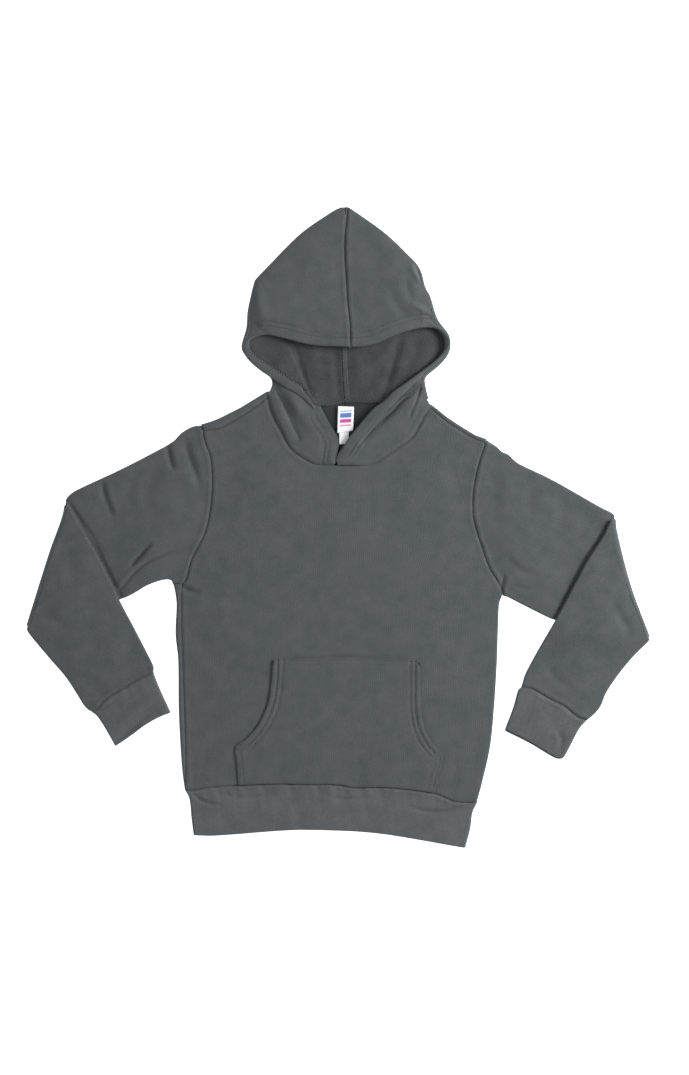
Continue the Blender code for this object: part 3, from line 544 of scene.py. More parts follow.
@dataclass(frozen=True)
class Satin(Finish):
    """White woven satin ribbon: close smooth threads across it, a soft lustre, sometimes printed."""

    printed: bool   # whether plain bars are printed on it
    white: str = "F4F4F8"
    bars: tuple[tuple[float, float, str], ...] = (   # start and end as shares of the length, and colour
        (0.22, 0.28, "E58AB4"), (0.36, 0.50, "C9509A"), (0.56, 0.74, "5E7FC4"), (0.80, 0.84, "9DB4DE"))

    def dress(self, tree: bpy.types.NodeTree, shader: bpy.types.Node) -> None:
        """Give the shader its colour and surface."""
        place = node(tree, "ShaderNodeTexCoord")
        along = node(tree, "ShaderNodeSeparateXYZ", vector=place.outputs["UV"])
        # Weft threads lie 0.7 mm apart, coarser than real ones so that they show.
        turn = node(tree, "ShaderNodeMath", {"operation": "MULTIPLY"}, in_0=along.outputs["Y"],
                    in_1=2 * math.pi * 1000 / 0.7)
        weft = node(tree, "ShaderNodeMath", {"operation": "SINE"}, in_0=turn.outputs[0])
        bump = node(tree, "ShaderNodeBump", strength=0.3, distance=0.05 * MM, height=weft.outputs[0])
        white = linear(self.white)
        plug(tree, shader, base_color=white, normal=bump.outputs[0], roughness=0.45, specular_ior_level=0.5)
        if self.printed:
            place = node(tree, "ShaderNodeMapRange", value=along.outputs["Y"], from_min=-12.5 * MM,
                         from_max=12.5 * MM)
            bars = node(tree, "ShaderNodeValToRGB", fac=place.outputs[0])
            ramp = bars.color_ramp
            ramp.interpolation = "CONSTANT"
            ramp.elements[0].color = white
            ramp.elements.remove(ramp.elements[1])
            for start, end, code in self.bars:
                ramp.elements.new(start).color = linear(code)
                ramp.elements.new(end).color = white
            edge = node(tree, "ShaderNodeMath", {"operation": "ABSOLUTE"}, in_0=along.outputs["X"])
            inside = node(tree, "ShaderNodeMath", {"operation": "LESS_THAN"}, in_0=edge.outputs[0],
                          in_1=5.6 * MM)
            colour = node(tree, "ShaderNodeMix", {"data_type": "RGBA"}, in_0=inside.outputs[0], in_6=white,
                          in_7=bars.outputs[0])
            plug(tree, shader, base_color=colour.outputs[2])


class Finishes(Enum):
    """Every finish of the garment."""

    FACE = Fleece("fleece_face_slate", "474D4F", "55585B", 0.5)
    # The brushed back: partly its own tone, and partly painted shade, darkened further to stand for the shade inside
    # the hollow hood
    NAP = Fleece("fleece_brushed_back_slate", "35393A", "474B4C", 0.9, 0.4)
    # A darker copy of the brushed back, used inside the body: its extra darkness is painted shade for the deep hollow
    # behind the neck, not a colour of the cloth
    INSIDE = Fleece("fleece_brushed_inside_slate", "2C3032", "37393C", 0.9, 0.4)
    RIB = Rib("fine_rib_slate", "4D5153", "5B5F61")
    THREAD = Thread("thread_slate", "53585B")
    PALE_THREAD = Thread("thread_overlock_slate", "63686B")
    LABEL = Satin("satin_label_printed", True)
    TAB = Satin("satin_tab_plain", False)


# ------------------------------------------------------------------ cloth into meshes
def choose(*things: bpy.types.Object) -> None:
    """Select only these objects, and make the first one active."""
    bpy.ops.object.select_all(action="DESELECT")
    for thing in things:
        thing.select_set(True)
    bpy.context.view_layer.objects.active = things[0]


def grid_object(name: str, sheet: Sheet) -> bpy.types.Object:
    """Mesh of one sheet: a grid primitive whose points are set in order.

    Args:
        name: the object's name.
        sheet: the cloth.

    Returns:
        The object, with the distance run along the cloth as its map, in metres.
    """
    rows, columns = sheet.x.shape
    bpy.ops.object.select_all(action="DESELECT")
    bpy.ops.mesh.primitive_grid_add(x_subdivisions=columns - 1, y_subdivisions=rows - 1, size=1.0)
    made = bpy.context.active_object
    made.name = name
    mesh = made.data
    if len(mesh.vertices) != rows * columns:
        raise ValueError(f"{name}: the grid has {len(mesh.vertices)} points, not {rows * columns}")
    spots = np.stack([sheet.x, sheet.y, sheet.z], axis=-1).reshape(-1) * MM
    mesh.vertices.foreach_set("co", spots.astype(np.float32))
    corners = np.zeros(len(mesh.loops), np.int32)
    mesh.loops.foreach_get("vertex_index", corners)
    run = np.stack([sheet.arc(1), sheet.arc(0)], axis=-1).reshape(-1, 2) * MM
    mesh.uv_layers.active.data.foreach_set("uv", run[corners].reshape(-1).astype(np.float32))
    mesh.update()
    return made


def welded(name: str, sheets: list[Sheet], weld: float, closed: bool = False) -> bpy.types.Object:
    """One mesh from one or more sheets.

    Args:
        name: the object's name.
        sheets: grids whose shared edges are welded.
        weld: points nearer than this become one.
        closed: whether the ends of tubes are closed.

    Returns:
        The object.
    """
    parts = [grid_object(name, sheet) for sheet in sheets]
    choose(*parts)
    if len(parts) > 1:
        bpy.ops.object.join()
    made = bpy.context.active_object
    made.name = name
    bpy.ops.object.mode_set(mode="EDIT")
    bpy.ops.mesh.select_all(action="SELECT")
    bpy.ops.mesh.remove_doubles(threshold=weld * MM)
    if closed:
        bpy.ops.mesh.fill_holes(sides=6)
        bpy.ops.mesh.normals_make_consistent(inside=False)
    bpy.ops.object.mode_set(mode="OBJECT")
    return made


def sewn(name: str, sheets: list[Sheet], wall: float, finishes: list[Finishes],
         weld: float = 0.03) -> bpy.types.Object:
    """One piece of cloth with its wall, from one or more sheets.

    Args:
        name: the piece's name.
        sheets: grids whose shared edges are welded.
        wall: thickness of the cloth.
        finishes: the outer face's finish, then the inner face's where it differs.
        weld: points nearer than this become one.

    Returns:
        The finished object.
    """
    piece = welded(name, sheets, weld)
    for finish in finishes:
        piece.data.materials.append(finish.value.material())
    solid = piece.modifiers.new("wall", "SOLIDIFY")
    solid.thickness = wall * MM
    solid.offset = 0.0
    solid.material_offset = len(finishes) - 1
    bpy.ops.object.modifier_apply(modifier=solid.name)
    bpy.ops.object.shade_smooth()
    return piece


class Surface:
    """The upper face of finished pieces, read from above or from a height between two layers."""

    def __init__(self, *pieces: bpy.types.Object, under: float = 100.0) -> None:
        """Take the pieces as they are, and read only faces that lie under a height in millimetres."""
        graph = bpy.context.evaluated_depsgraph_get()
        self.trees = [BVHTree.FromObject(piece, graph) for piece in pieces]
        self.under = under

    def height(self, x: float, y: float) -> float:
        """Height of the highest face at a place, in millimetres, or 0 where there is none."""
        top = 0.0
        for tree in self.trees:
            hit = tree.ray_cast(Vector((x * MM, y * MM, self.under * MM)), Vector((0.0, 0.0, -1.0)))
            if hit[0] is not None:
                top = max(top, hit[0].z / MM)
        return top

    def heights(self, x: Array, y: Array) -> Array:
        """Height at each of many places."""
        flat = [self.height(a, b) for a, b in zip(x.ravel(), y.ravel())]
        return np.array(flat).reshape(x.shape)


# ------------------------------------------------------------------ sewn pieces
@dataclass
class Piece:
    """What every sewn piece has: the node it stands for, its slot, and the size that it was cut to."""

    node: str
    slot: str
    cut: tuple[float, float]
    cut_area: float | None = None
    held: str = "laid"
    rests_on: tuple[str, ...] = ()

    def declare(self, piece: bpy.types.Object, *extras: bpy.types.Object) -> bpy.types.Object:
        """Hide the CAD node that the piece stands for, and let it and its small parts ride on the root body.

        Args:
            piece: the piece's cloth.
            extras: threads and tapes sewn to it.

        Returns:
            The piece.
        """
        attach(piece, "root")
        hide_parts(self.node)
        for extra in extras:
            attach(extra, "root")
        settings: dict[str, object] = {"area": self.cut_area} if self.cut_area else {}
        if self.rests_on:
            settings["rests_on"] = list(self.rests_on)
        LOG.info("%s: %d faces, %d small parts", piece.name, len(piece.data.polygons), len(extras))
        return piece

    def build(self) -> bpy.types.Object:
        """Lay out the piece and finish it."""
        raise NotImplementedError


def thread_run(name: str, lines: list[Line], surface: Surface, finish: Finishes, pitch: float = 3.1,
               radius: float = 0.3, proud: float = 0.12, sway: float = 0.0) -> bpy.types.Object:
    """Rows of lockstitch: a thread that shows for most of each stitch and dives between two.

    Args:
        name: the object's name.
        lines: the rows in plan.
        surface: the cloth that they are sewn through.
        finish: the thread.
        pitch: length of one stitch.
        radius: half the thread's thickness.
        proud: height of its middle over the cloth.
        sway: how far it swings from side to side, as an overlock's loops do.

    Returns:
        One object with every row.
    """
    rows = []
    bite = np.array([-0.55, 0.0, 1.0, 1.0, 0.9, 0.0])   # rise of the thread over one stitch
    for line in lines:
        step = np.arange(max(int(line.length / pitch), 1) * len(bite) + 1)
        spot = line.at(np.linspace(0.0, 1.0, len(step)))
        across = leftward(spot)
        dive = bite[step % len(bite)]
        spot = spot + across * (sway * np.sin(step * math.pi / 3))[:, None]
        top = surface.heights(spot[:, 0], spot[:, 1])
        high = top + np.where(dive > 0, proud * dive, dive)
        angle = np.linspace(0.0, 2 * math.pi, 5)[None, :]
        rows.append(Sheet(spot[:, :1] + across[:, :1] * radius * np.cos(angle),
                          spot[:, 1:] + across[:, 1:] * radius * np.cos(angle),
                          high[:, None] + radius * np.sin(angle)))
    run = welded(name, rows, weld=0.01, closed=True)
    run.data.materials.append(finish.value.material())
    bpy.ops.object.shade_smooth()
    return run


@dataclass
class BodyPanel(Piece):
    """What the front and the back of the body share."""

    step: float = 2.1              # from row to row
    side_length: float = 205.0
    armhole_length: float = 160.0
    armpit_share: float = 0.5      # share of the rows' height at the armpit

    def rows(self) -> tuple[Array, Array, Array]:
        """Rows as shares of the side seam, of the armhole, and of the whole height."""
        low = spaced(self.side_length, self.step, last=False)
        high = spaced(self.armhole_length, self.step, first=False)
        return low, high, np.concatenate([low[:-1] * self.armpit_share,
                                          self.armpit_share + high * (1 - self.armpit_share)])

    def side(self, seam: Points, armhole: Points) -> Array:
        """Points of one side, from the hem past the armpit to the shoulder."""
        low, high, _ = self.rows()
        return np.concatenate([Line(seam).at(low)[:-1], Line(armhole).at(high)])

    def hem_between(self, right: Array, left: Array, across: Array) -> Array:
        """Points of the hem seam, stretched so that it runs from one side to the other."""
        hem = Line(HEM_SEAM).at(across)
        hem[:, 0] = right[0, 0] + (left[0, 0] - right[0, 0]) * (hem[:, 0] - hem[0, 0]) / (hem[-1, 0] - hem[0, 0])
        return hem

    def shoulder_seam(self, table: Points) -> Line:
        """The seam that lies on top of a shoulder."""
        return Line(tuple((place, seam) for place, _, seam in table))


@dataclass
class FrontPanel(BodyPanel):
    """Front of the body: it is sewn in on the wearer's right and wraps round on the wearer's left."""

    puff: float = 2.0
    uneven: float = 0.42     # height of the slow rise and fall of cloth that lies loose
    gathers: float = 0.38    # height of the waves that the rib draws into the cloth
    tuck: float = 4.0        # width that is turned under on the wearer's left
    neck_shares: tuple[float, float] = (0.22, 0.81)   # where the neck starts and ends on the upper edge
    seam_right: Points = ((-153.4, -261), (-152.6, -248), (-153, -219), (-154.4, -177), (-155.8, -135),
                          (-156.8, -100), (-157.1, -76), (-157, -64), (-156.4, -56.6))
    axis_left: Points = ((136.4, -273.4), (140.9, -257), (149.5, -219), (153.7, -177), (156.3, -135),
                         (157.5, -100), (158.6, -76), (160.6, -70), (163.9, -66.1))
    creases: tuple[Crease, ...] = (
        Crease(((-158, -57.6), (-154, -60), (-148.4, -62.4), (-142.4, -63.8), (-137, -63.6)), 2.2, -3.6, 0.6),
        # The pocket's top edge presses a groove into the cloth above it.
        Crease(((-64.6, -129.9), (-58.7, -129.5), (-26.4, -130), (3.6, -129), (34.6, -129.7), (81, -131.1)),
               1.5, -1.2, 0.2),
        Crease(((-121, 96), (-112, 70), (-108, 40), (-111, 12)), 9.0, -0.7),
        Crease(((-139, -20), (-120, -38), (-92, -50), (-60, -56)), 7.0, -0.55),
        Crease(((150, -48), (136, -60), (112, -68), (84, -70)), 7.0, -0.6),
        Crease(((150, -86), (128, -100), (104, -112)), 6.0, -0.5),
        Crease(((120, 92), (116, 62), (121, 30), (132, 2)), 8.0, -0.6),
        Crease(((-150, -110), (-128, -124), (-98, -132)), 7.0, -0.5),
        Crease(((-40, 52), (-22, 30), (-16, 2)), 10.0, -0.5),
        Crease(((60, 60), (48, 34), (44, 8)), 9.0, -0.45),
        Crease(((-138, -252), (-134, -236), (-133, -214)), 4.5, -0.55),
        Crease(((118, -262), (116, -240), (119, -214)), 4.5, -0.6),
        Crease(((132, -258), (136, -226), (139, -190)), 5.0, -0.5),
    )

    def top_edge(self, right: Array, neck: Array, left: Array) -> Array:
        """Points of the upper edge: one shoulder, the neck and the other shoulder."""
        first, last = self.shoulder_seam(SHOULDER_RIGHT).at(right), self.shoulder_seam(SHOULDER_LEFT).at(left)
        edge = np.concatenate([first[:-1], Line(NECK_FRONT).at(neck), last[1:]])
        edge[:, 1] -= SEAM / 2
        return edge

    def build(self) -> bpy.types.Object:
        """Lay out the panel and finish it."""
        # Columns crowd at the outer end of each shoulder.
        a, b = self.neck_shares
        first, last = spaced(70, 2.0, last=False), spaced(62, 2.0, first=False)
        middle = spaced(172, 1.95, first=False, last=False)
        u = np.concatenate([first[:-1] * a, a + middle * (b - a), b + last[1:] * (1 - b)])
        low_rows, _, v = self.rows()
        rows = len(low_rows)
        right, left = self.side(self.seam_right, ARMHOLE_RIGHT), self.side(self.axis_left, ARMHOLE_LEFT)
        right[rows - 1:, 0] += SEAM / 2
        left[rows - 1:, 0] -= SEAM / 2
        hem = self.hem_between(right, left, u)
        hem[:, 1] += SEAM / 2
        top = self.top_edge(first, middle, last)
        right[0], left[0], right[-1], left[-1] = hem[0], hem[-1], top[0], top[-1]
        x, y = coons(hem, top, right, left, u, v)
        z = TOP_Z + self.puff * ((1 - (2 * u[None] - 1) ** 4) * (1 - (2 * v[:, None] - 1) ** 4))
        inside = np.minimum(off_edges(u[None], 300, 2, 40), off_edges(v[:, None], 370, 2, 40))
        z = z + self.uneven * wander(x, y, seed=11, size=95) * inside
        # The rib draws the body in, so that it stands in soft upright waves over the hem.
        waves = wander(x, y * 0.25, seed=5, size=24)
        z = z + self.gathers * waves * (1 - ease(y + 262, 4, 46)) * ease(y + 266, 0, 6)
        panel = Sheet(x, y, z).relief(
            SeamDip(Line(HEM_SEAM), 1.1), SeamDip(Line(ARMHOLE_RIGHT), 1.3), SeamDip(Line(ARMHOLE_LEFT), 1.5),
            SeamDip(Line(self.seam_right), 0.6),
            SeamDip(Line(NECK_FRONT), 0.75, width=1.0, swell=0.55, swell_at=3.4),
            SeamDip(self.shoulder_seam(SHOULDER_RIGHT), 1.3), SeamDip(self.shoulder_seam(SHOULDER_LEFT), 1.0),
            *self.creases)
        # On the wearer's left the cloth turns under, less and less towards the armpit.
        taper = 1 - ease(np.arange(rows), rows - 9, rows - 1)[:, None]
        reach = np.concatenate([np.linspace(0, math.pi * ROLL, 7), math.pi * ROLL + np.array([1.4, 2.8, self.tuck])])
        past, turn = fold_over(reach[None] * taper, ROLL)
        edge = x[:rows, -1:], y[:rows, -1:], panel.z[:rows, -1:]
        under = Sheet(edge[0] + past, edge[1] + 0 * past, edge[2] - turn * (edge[2] - FLOOR_Z) / (2 * ROLL))
        return self.declare(sewn("front_panel", [panel, under], WALL, [Finishes.FACE, Finishes.NAP]))


@dataclass
class BackPanel(BodyPanel):
    """Back of the body: it comes round the wearer's right side and over both shoulders."""

    step: float = 3.4
    left_end: Points = ((132, -273), (137, -257), (145.5, -219), (149.7, -177), (152.3, -135),
                        (153.5, -100), (154.5, -76), (158, -70), (163.9, -66.1))
    axis_right: Points = ((-151.3, -260.8), (-152.4, -255), (-154.8, -232), (-157.4, -183), (-158, -132),
                          (-160.6, -106), (-159.6, -76), (-161, -64), (-162.8, -56))

    def over_shoulder(self, table: Points, x: Array) -> tuple[Sheet, Array]:
        """The cloth that comes over one shoulder, and the line in plan where it starts to turn.

        Args:
            table: the shoulder's places.
            x: places across, one for each column.

        Returns:
            The turned cloth, and the height in plan of its first row.
        """
        edge, seam = column(table, x, 1), column(table, x, 2)
        start = edge - 0.85 - ROLL
        past, rise, back = (part[:, None] for part in lapped())
        y = start + past - back * np.maximum(start - seam, 0.4)
        z = FLOOR_Z + rise + 0 * y
        end = table[0][0] if table[0][0] < 0 else table[-1][0]
        lean = math.copysign(2.4, end) * np.clip(1 - np.abs(x - end) / 9, 0, 1) * (y - seam) / (edge - seam)
        cloth = Sheet(x[None] + lean, y, z)
        cloth.relief(SeamDip(Line(tuple(zip(x, seam))), 1.1))
        return cloth, start

    def build(self) -> bpy.types.Object:
        """Lay out the panel and finish it."""
        low_rows, _, v = self.rows()
        rows = len(low_rows)
        right = self.side(self.axis_right, (self.axis_right[-1],) + ARMHOLE_RIGHT[2:])
        left = self.side(self.left_end, ARMHOLE_LEFT)
        x_right = np.linspace(SHOULDER_RIGHT[0][0], NECK_BACK[0][0], 29)
        x_left = np.linspace(NECK_BACK[-1][0], SHOULDER_LEFT[-1][0], 26)
        over_right, start_right = self.over_shoulder(SHOULDER_RIGHT, x_right)
        over_left, start_left = self.over_shoulder(SHOULDER_LEFT, x_left)
        neck = Line(NECK_BACK).at(np.linspace(0, 1, 70))
        top = np.concatenate([np.stack([x_right, start_right], axis=1), neck[1:-1],
                              np.stack([x_left, start_left], axis=1)])
        u = np.linspace(0, 1, len(top))
        hem = self.hem_between(right, left, u)
        right[0], left[0], right[-1], left[-1] = hem[0], hem[-1], top[0], top[-1]
        x, y = coons(hem, top, right, left, u, v)
        floor = Sheet(x, y, FLOOR_Z + 0.0 * x).turned()
        # Round the wearer's right side it comes back on top as far as the front panel's seam.
        seam = np.interp(right[:rows, 1], [p[1] for p in FRONT.seam_right], [p[0] for p in FRONT.seam_right])
        beyond = np.maximum(seam - SEAM - right[:rows, 0], SEAM)[:, None]
        past, rise, back = (part[None] for part in lapped())
        over = Sheet(right[:rows, :1] - past + back * beyond,
                     right[:rows, 1:] + 0 * past, FLOOR_Z + rise + 0 * right[:rows, 1:])
        over.relief(SeamDip(Line(FRONT.seam_right), 0.6))
        sheets = [floor, over, over_right.turned(), over_left.turned()]
        # The back's inside takes the darker copy of the brushed finish: painted shade for the hollow behind the neck
        return self.declare(sewn("back_panel", sheets, WALL, [Finishes.FACE, Finishes.INSIDE]))


@dataclass
class Pocket(Piece):
    """Kangaroo pocket: hemmed at its curved openings, top-stitched down elsewhere."""

    wall: float = 1.25
    uneven: float = 0.16
    right: Points = ((-99.6, -256.8), (-101.4, -234.1), (-102.4, -218.6), (-92.4, -211.2), (-79.6, -196.4),
                     (-70.4, -176.4), (-66.6, -154.4), (-65.4, -131.2))
    left: Points = ((95.8, -264.6), (100.6, -246), (104, -228.1), (92.8, -213.4), (85.4, -198.4),
                    (82.2, -181.4), (81.8, -158.4), (81.8, -132.2))
    top: Points = ((-65.4, -131.2), (-58.7, -130.6), (-26.4, -131.1), (3.6, -130.1), (34.6, -130.8), (81.8, -132.2))
    corner: float = 0.31                             # share of each side where the opening starts
    opening_rows: tuple[float, float] = (5.3, 10)    # from the edge of an opening to its rows of stitches
    groove: float = 1.35                             # depth of the grooves that they draw in
    proud: float = 0.35                              # rise of the doubled cloth beside an opening
    edge_rows: tuple[float, float] = (1.6, 6.4)      # from an edge that is sewn down to its rows of stitches
    creases: tuple[Crease, ...] = (
        Crease(((-60, -236), (-30, -222), (6, -218)), 8.0, -0.45),
        Crease(((84, -240), (66, -222), (58, -200)), 6.0, -0.45),
        Crease(((-92, -248), (-84, -232), (-80, -216)), 4.0, -0.4),
        Crease(((20, -256), (22, -244), (19, -228)), 4.5, -0.4))
    bartacks: tuple[Points, ...] = (((79.6, -134), (82, -137.6)), ((80.4, -133.6), (82.8, -137.2)),
                                    ((-63.4, -133), (-65.4, -136.6)), ((-64.2, -132.6), (-66.2, -136.2)))

    def build(self) -> bpy.types.Object:
        """Lay the pocket on the front panel."""
        panel = bpy.data.objects["front_panel"]
        u, v = spaced(186, 1.7), spaced(126, 1.6)
        low_line = tuple(p for p in HEM_SEAM if -99 < p[0] < 95)
        low = Line((self.right[0], *low_line, self.left[0])).at(u)
        low[:, 1] += SEAM
        right, left, top = Line(self.right, fineness=6), Line(self.left, fineness=6), Line(self.top)
        starts, ends = right.at(v), left.at(v)
        starts[0], ends[0] = low[0], low[-1]
        x, y = coons(low, top.at(u), starts, ends, u, v)
        # The cloth bridges the small hollows under it.
        below = Surface(panel).heights(x, y)
        smooth = below.copy()
        for _ in range(3):
            smooth[1:-1, 1:-1] = (smooth[:-2, 1:-1] + smooth[2:, 1:-1] + smooth[1:-1, :-2] + smooth[1:-1, 2:]) / 4
        z = np.maximum(smooth, below - 0.1) + 0.15 + self.wall / 2
        away_r, share_r, _ = right.near(x, y, 20)
        away_l, share_l, _ = left.near(x, y, 20)
        away_t, _, _ = top.near(x, y, 20)
        away_s = np.minimum(*(np.where(share < self.corner, away, FAR)
                              for away, share in ((away_r, share_r), (away_l, share_l))))
        z += 0.5 * (1 - bell(np.minimum(away_t, away_s), 7)) * ease(y + 256, 0, 30)
        # The openings are turned in twice, so they stand proud, with a groove along each row of stitches.
        for away, share in ((away_r, share_r), (away_l, share_l)):
            at_opening = ease(share, self.corner - 0.01, self.corner + 0.03)
            rise = self.proud * (1 - ease(away, 9.5, 12.5) - bell(away, 0.8))
            for gap, width in zip(self.opening_rows, (0.9, 0.95)):
                rise -= self.groove * bell(away - gap, width)
            z += at_opening * rise
        z += self.uneven * wander(x, y, seed=31, size=60) * ease(np.minimum(away_t, np.minimum(away_r, away_l)), 2, 18)
        near_top, far_top = (top.shifted(-gap) for gap in self.edge_rows)
        cloth = Sheet(x, y, z).relief(SeamDip(near_top, 0.45, width=0.7, swell=0.2, swell_at=2.2),
                                      SeamDip(far_top, 0.3, width=0.8, swell=0.12, swell_at=2.2), *self.creases)
        piece = sewn("kangaroo_pocket", [cloth], self.wall, [Finishes.FACE, Finishes.NAP])
        face = Surface(piece, panel)
        opening = np.linspace(self.corner + 0.02, 0.985, 60)[::3]
        below_it = np.linspace(0.02, self.corner - 0.03, 10)
        sides = ((right, -1), (left, 1))
        rows = [Line(side.shifted(sign * gap).at(opening)) for side, sign in sides for gap in self.opening_rows]
        rows.append(Line(near_top.at(np.linspace(0.01, 0.99, 24))))
        rows += [Line(side.shifted(sign * gap).at(below_it)) for side, sign in sides for gap in self.edge_rows]
        stitches = thread_run("pocket_stitches", rows, face, Finishes.THREAD)
        bars = [Line(bar) for bar in self.bartacks]
        tacks = thread_run("pocket_bartacks", bars, face, Finishes.THREAD, pitch=1.0, radius=0.45, proud=0.3, sway=0.5)
        return self.declare(piece, stitches, tacks)


@dataclass
class RibBand(Piece):
    """A tube of rib, doubled by turning it in at its open edge: the hem or a cuff."""

    name: str = "rib_band"
    seam: Points = ()
    mouth: Points = ()
    side_start: Points = ()
    side_end: Points = ()
    step: float = 2.0
    wall: float = 1.05
    middle: float = 2.55       # height of the tube's axis
    outer: float = 1.95        # radius of the outer layer, and then of the inner one
    inner: float = 0.75
    turned_in: float = 11.0
    open_by: float = 0.0       # how far the lower side stands out past the upper one at the mouth
    seed: int = 1
    gathers: float = 0.5       # height of the waves that the seam draws into the rib
    dip_top: float = 0.9       # depth of the groove at the seam
    puff: float = 0.25
    creases: tuple[Crease, ...] = ()

    def build(self) -> bpy.types.Object:
        """Lay out the band and finish it."""
        seam, mouth = Line(self.seam), Line(self.mouth)
        start, end = Line(self.side_start), Line(self.side_end)
        length = start.length
        rows = spaced(length, 1.6)
        share, angle = around(spaced(seam.length, self.step), bends=7)
        # The outer layer runs to the mouth, turns in there, and the inner one runs back.
        turn = np.linspace(0, math.pi, 7)[1:]
        last = length - 1.1
        back = np.array([1.5, 4.0, 7.0, self.turned_in])
        along = np.concatenate([rows * last, last + 0.6 * np.sin(turn), last - back])
        half_gap = (self.outer - self.inner) / 2
        radius = np.concatenate([0 * rows + self.outer, (self.outer + self.inner) / 2 + half_gap * np.cos(turn),
                                 0 * back + self.inner])
        s, t = np.meshgrid(share, np.clip(along / length, 0, 1))
        plans = fine_plan(seam, mouth, start, end, 200)
        width = seam.length * (1 - t) + mouth.length * t
        edge = (self.wall / 2 + self.outer - radius[:, None] * np.abs(np.sin(angle))[None]) / width
        place = edge + (1 - 2 * edge) * s
        top = (1 + np.cos(angle))[None] / 2
        t = np.clip(t - self.open_by * top / length * ease(t, 0.3, 1.0), 0, 1)
        x, y = (sample(plan, t, place) for plan in plans)
        z = self.middle + radius[:, None] * np.cos(angle)[None]
        down = along[:, None] + 0 * x
        ripple = wander(s * width, down * 0.16, self.seed, size=17)
        ripple = ripple + 0.6 * wander(s * width, down * 0.1, self.seed + 1, size=8)
        near_seam = bell(down, 13) * 0.75 + 0.25
        z += top * self.gathers * ripple * near_seam * off_edges(s, width, 0, 8)
        z += top * self.puff * np.sin(np.clip(down / length, 0, 1) * math.pi)
        seam_dip = -self.dip_top * bell(down, 1.5) + 0.4 * bell(down - 3.0, 1.6)
        cloth = Sheet(x, y, z + top * (relief_at(self.creases, x, y) + seam_dip))
        if signed_turn(self.seam, self.mouth) <= 0:
            cloth = cloth.turned()
        return self.declare(sewn(self.name, [cloth], self.wall, [Finishes.RIB]))


def signed_turn(seam: Points, mouth: Points) -> float:
    """Positive where the way from seam to mouth turns left from the way along the seam."""
    along = (seam[-1][0] - seam[0][0], seam[-1][1] - seam[0][1])
    down = (mouth[0][0] - seam[0][0], mouth[0][1] - seam[0][1])
    return along[0] * down[1] - along[1] * down[0]


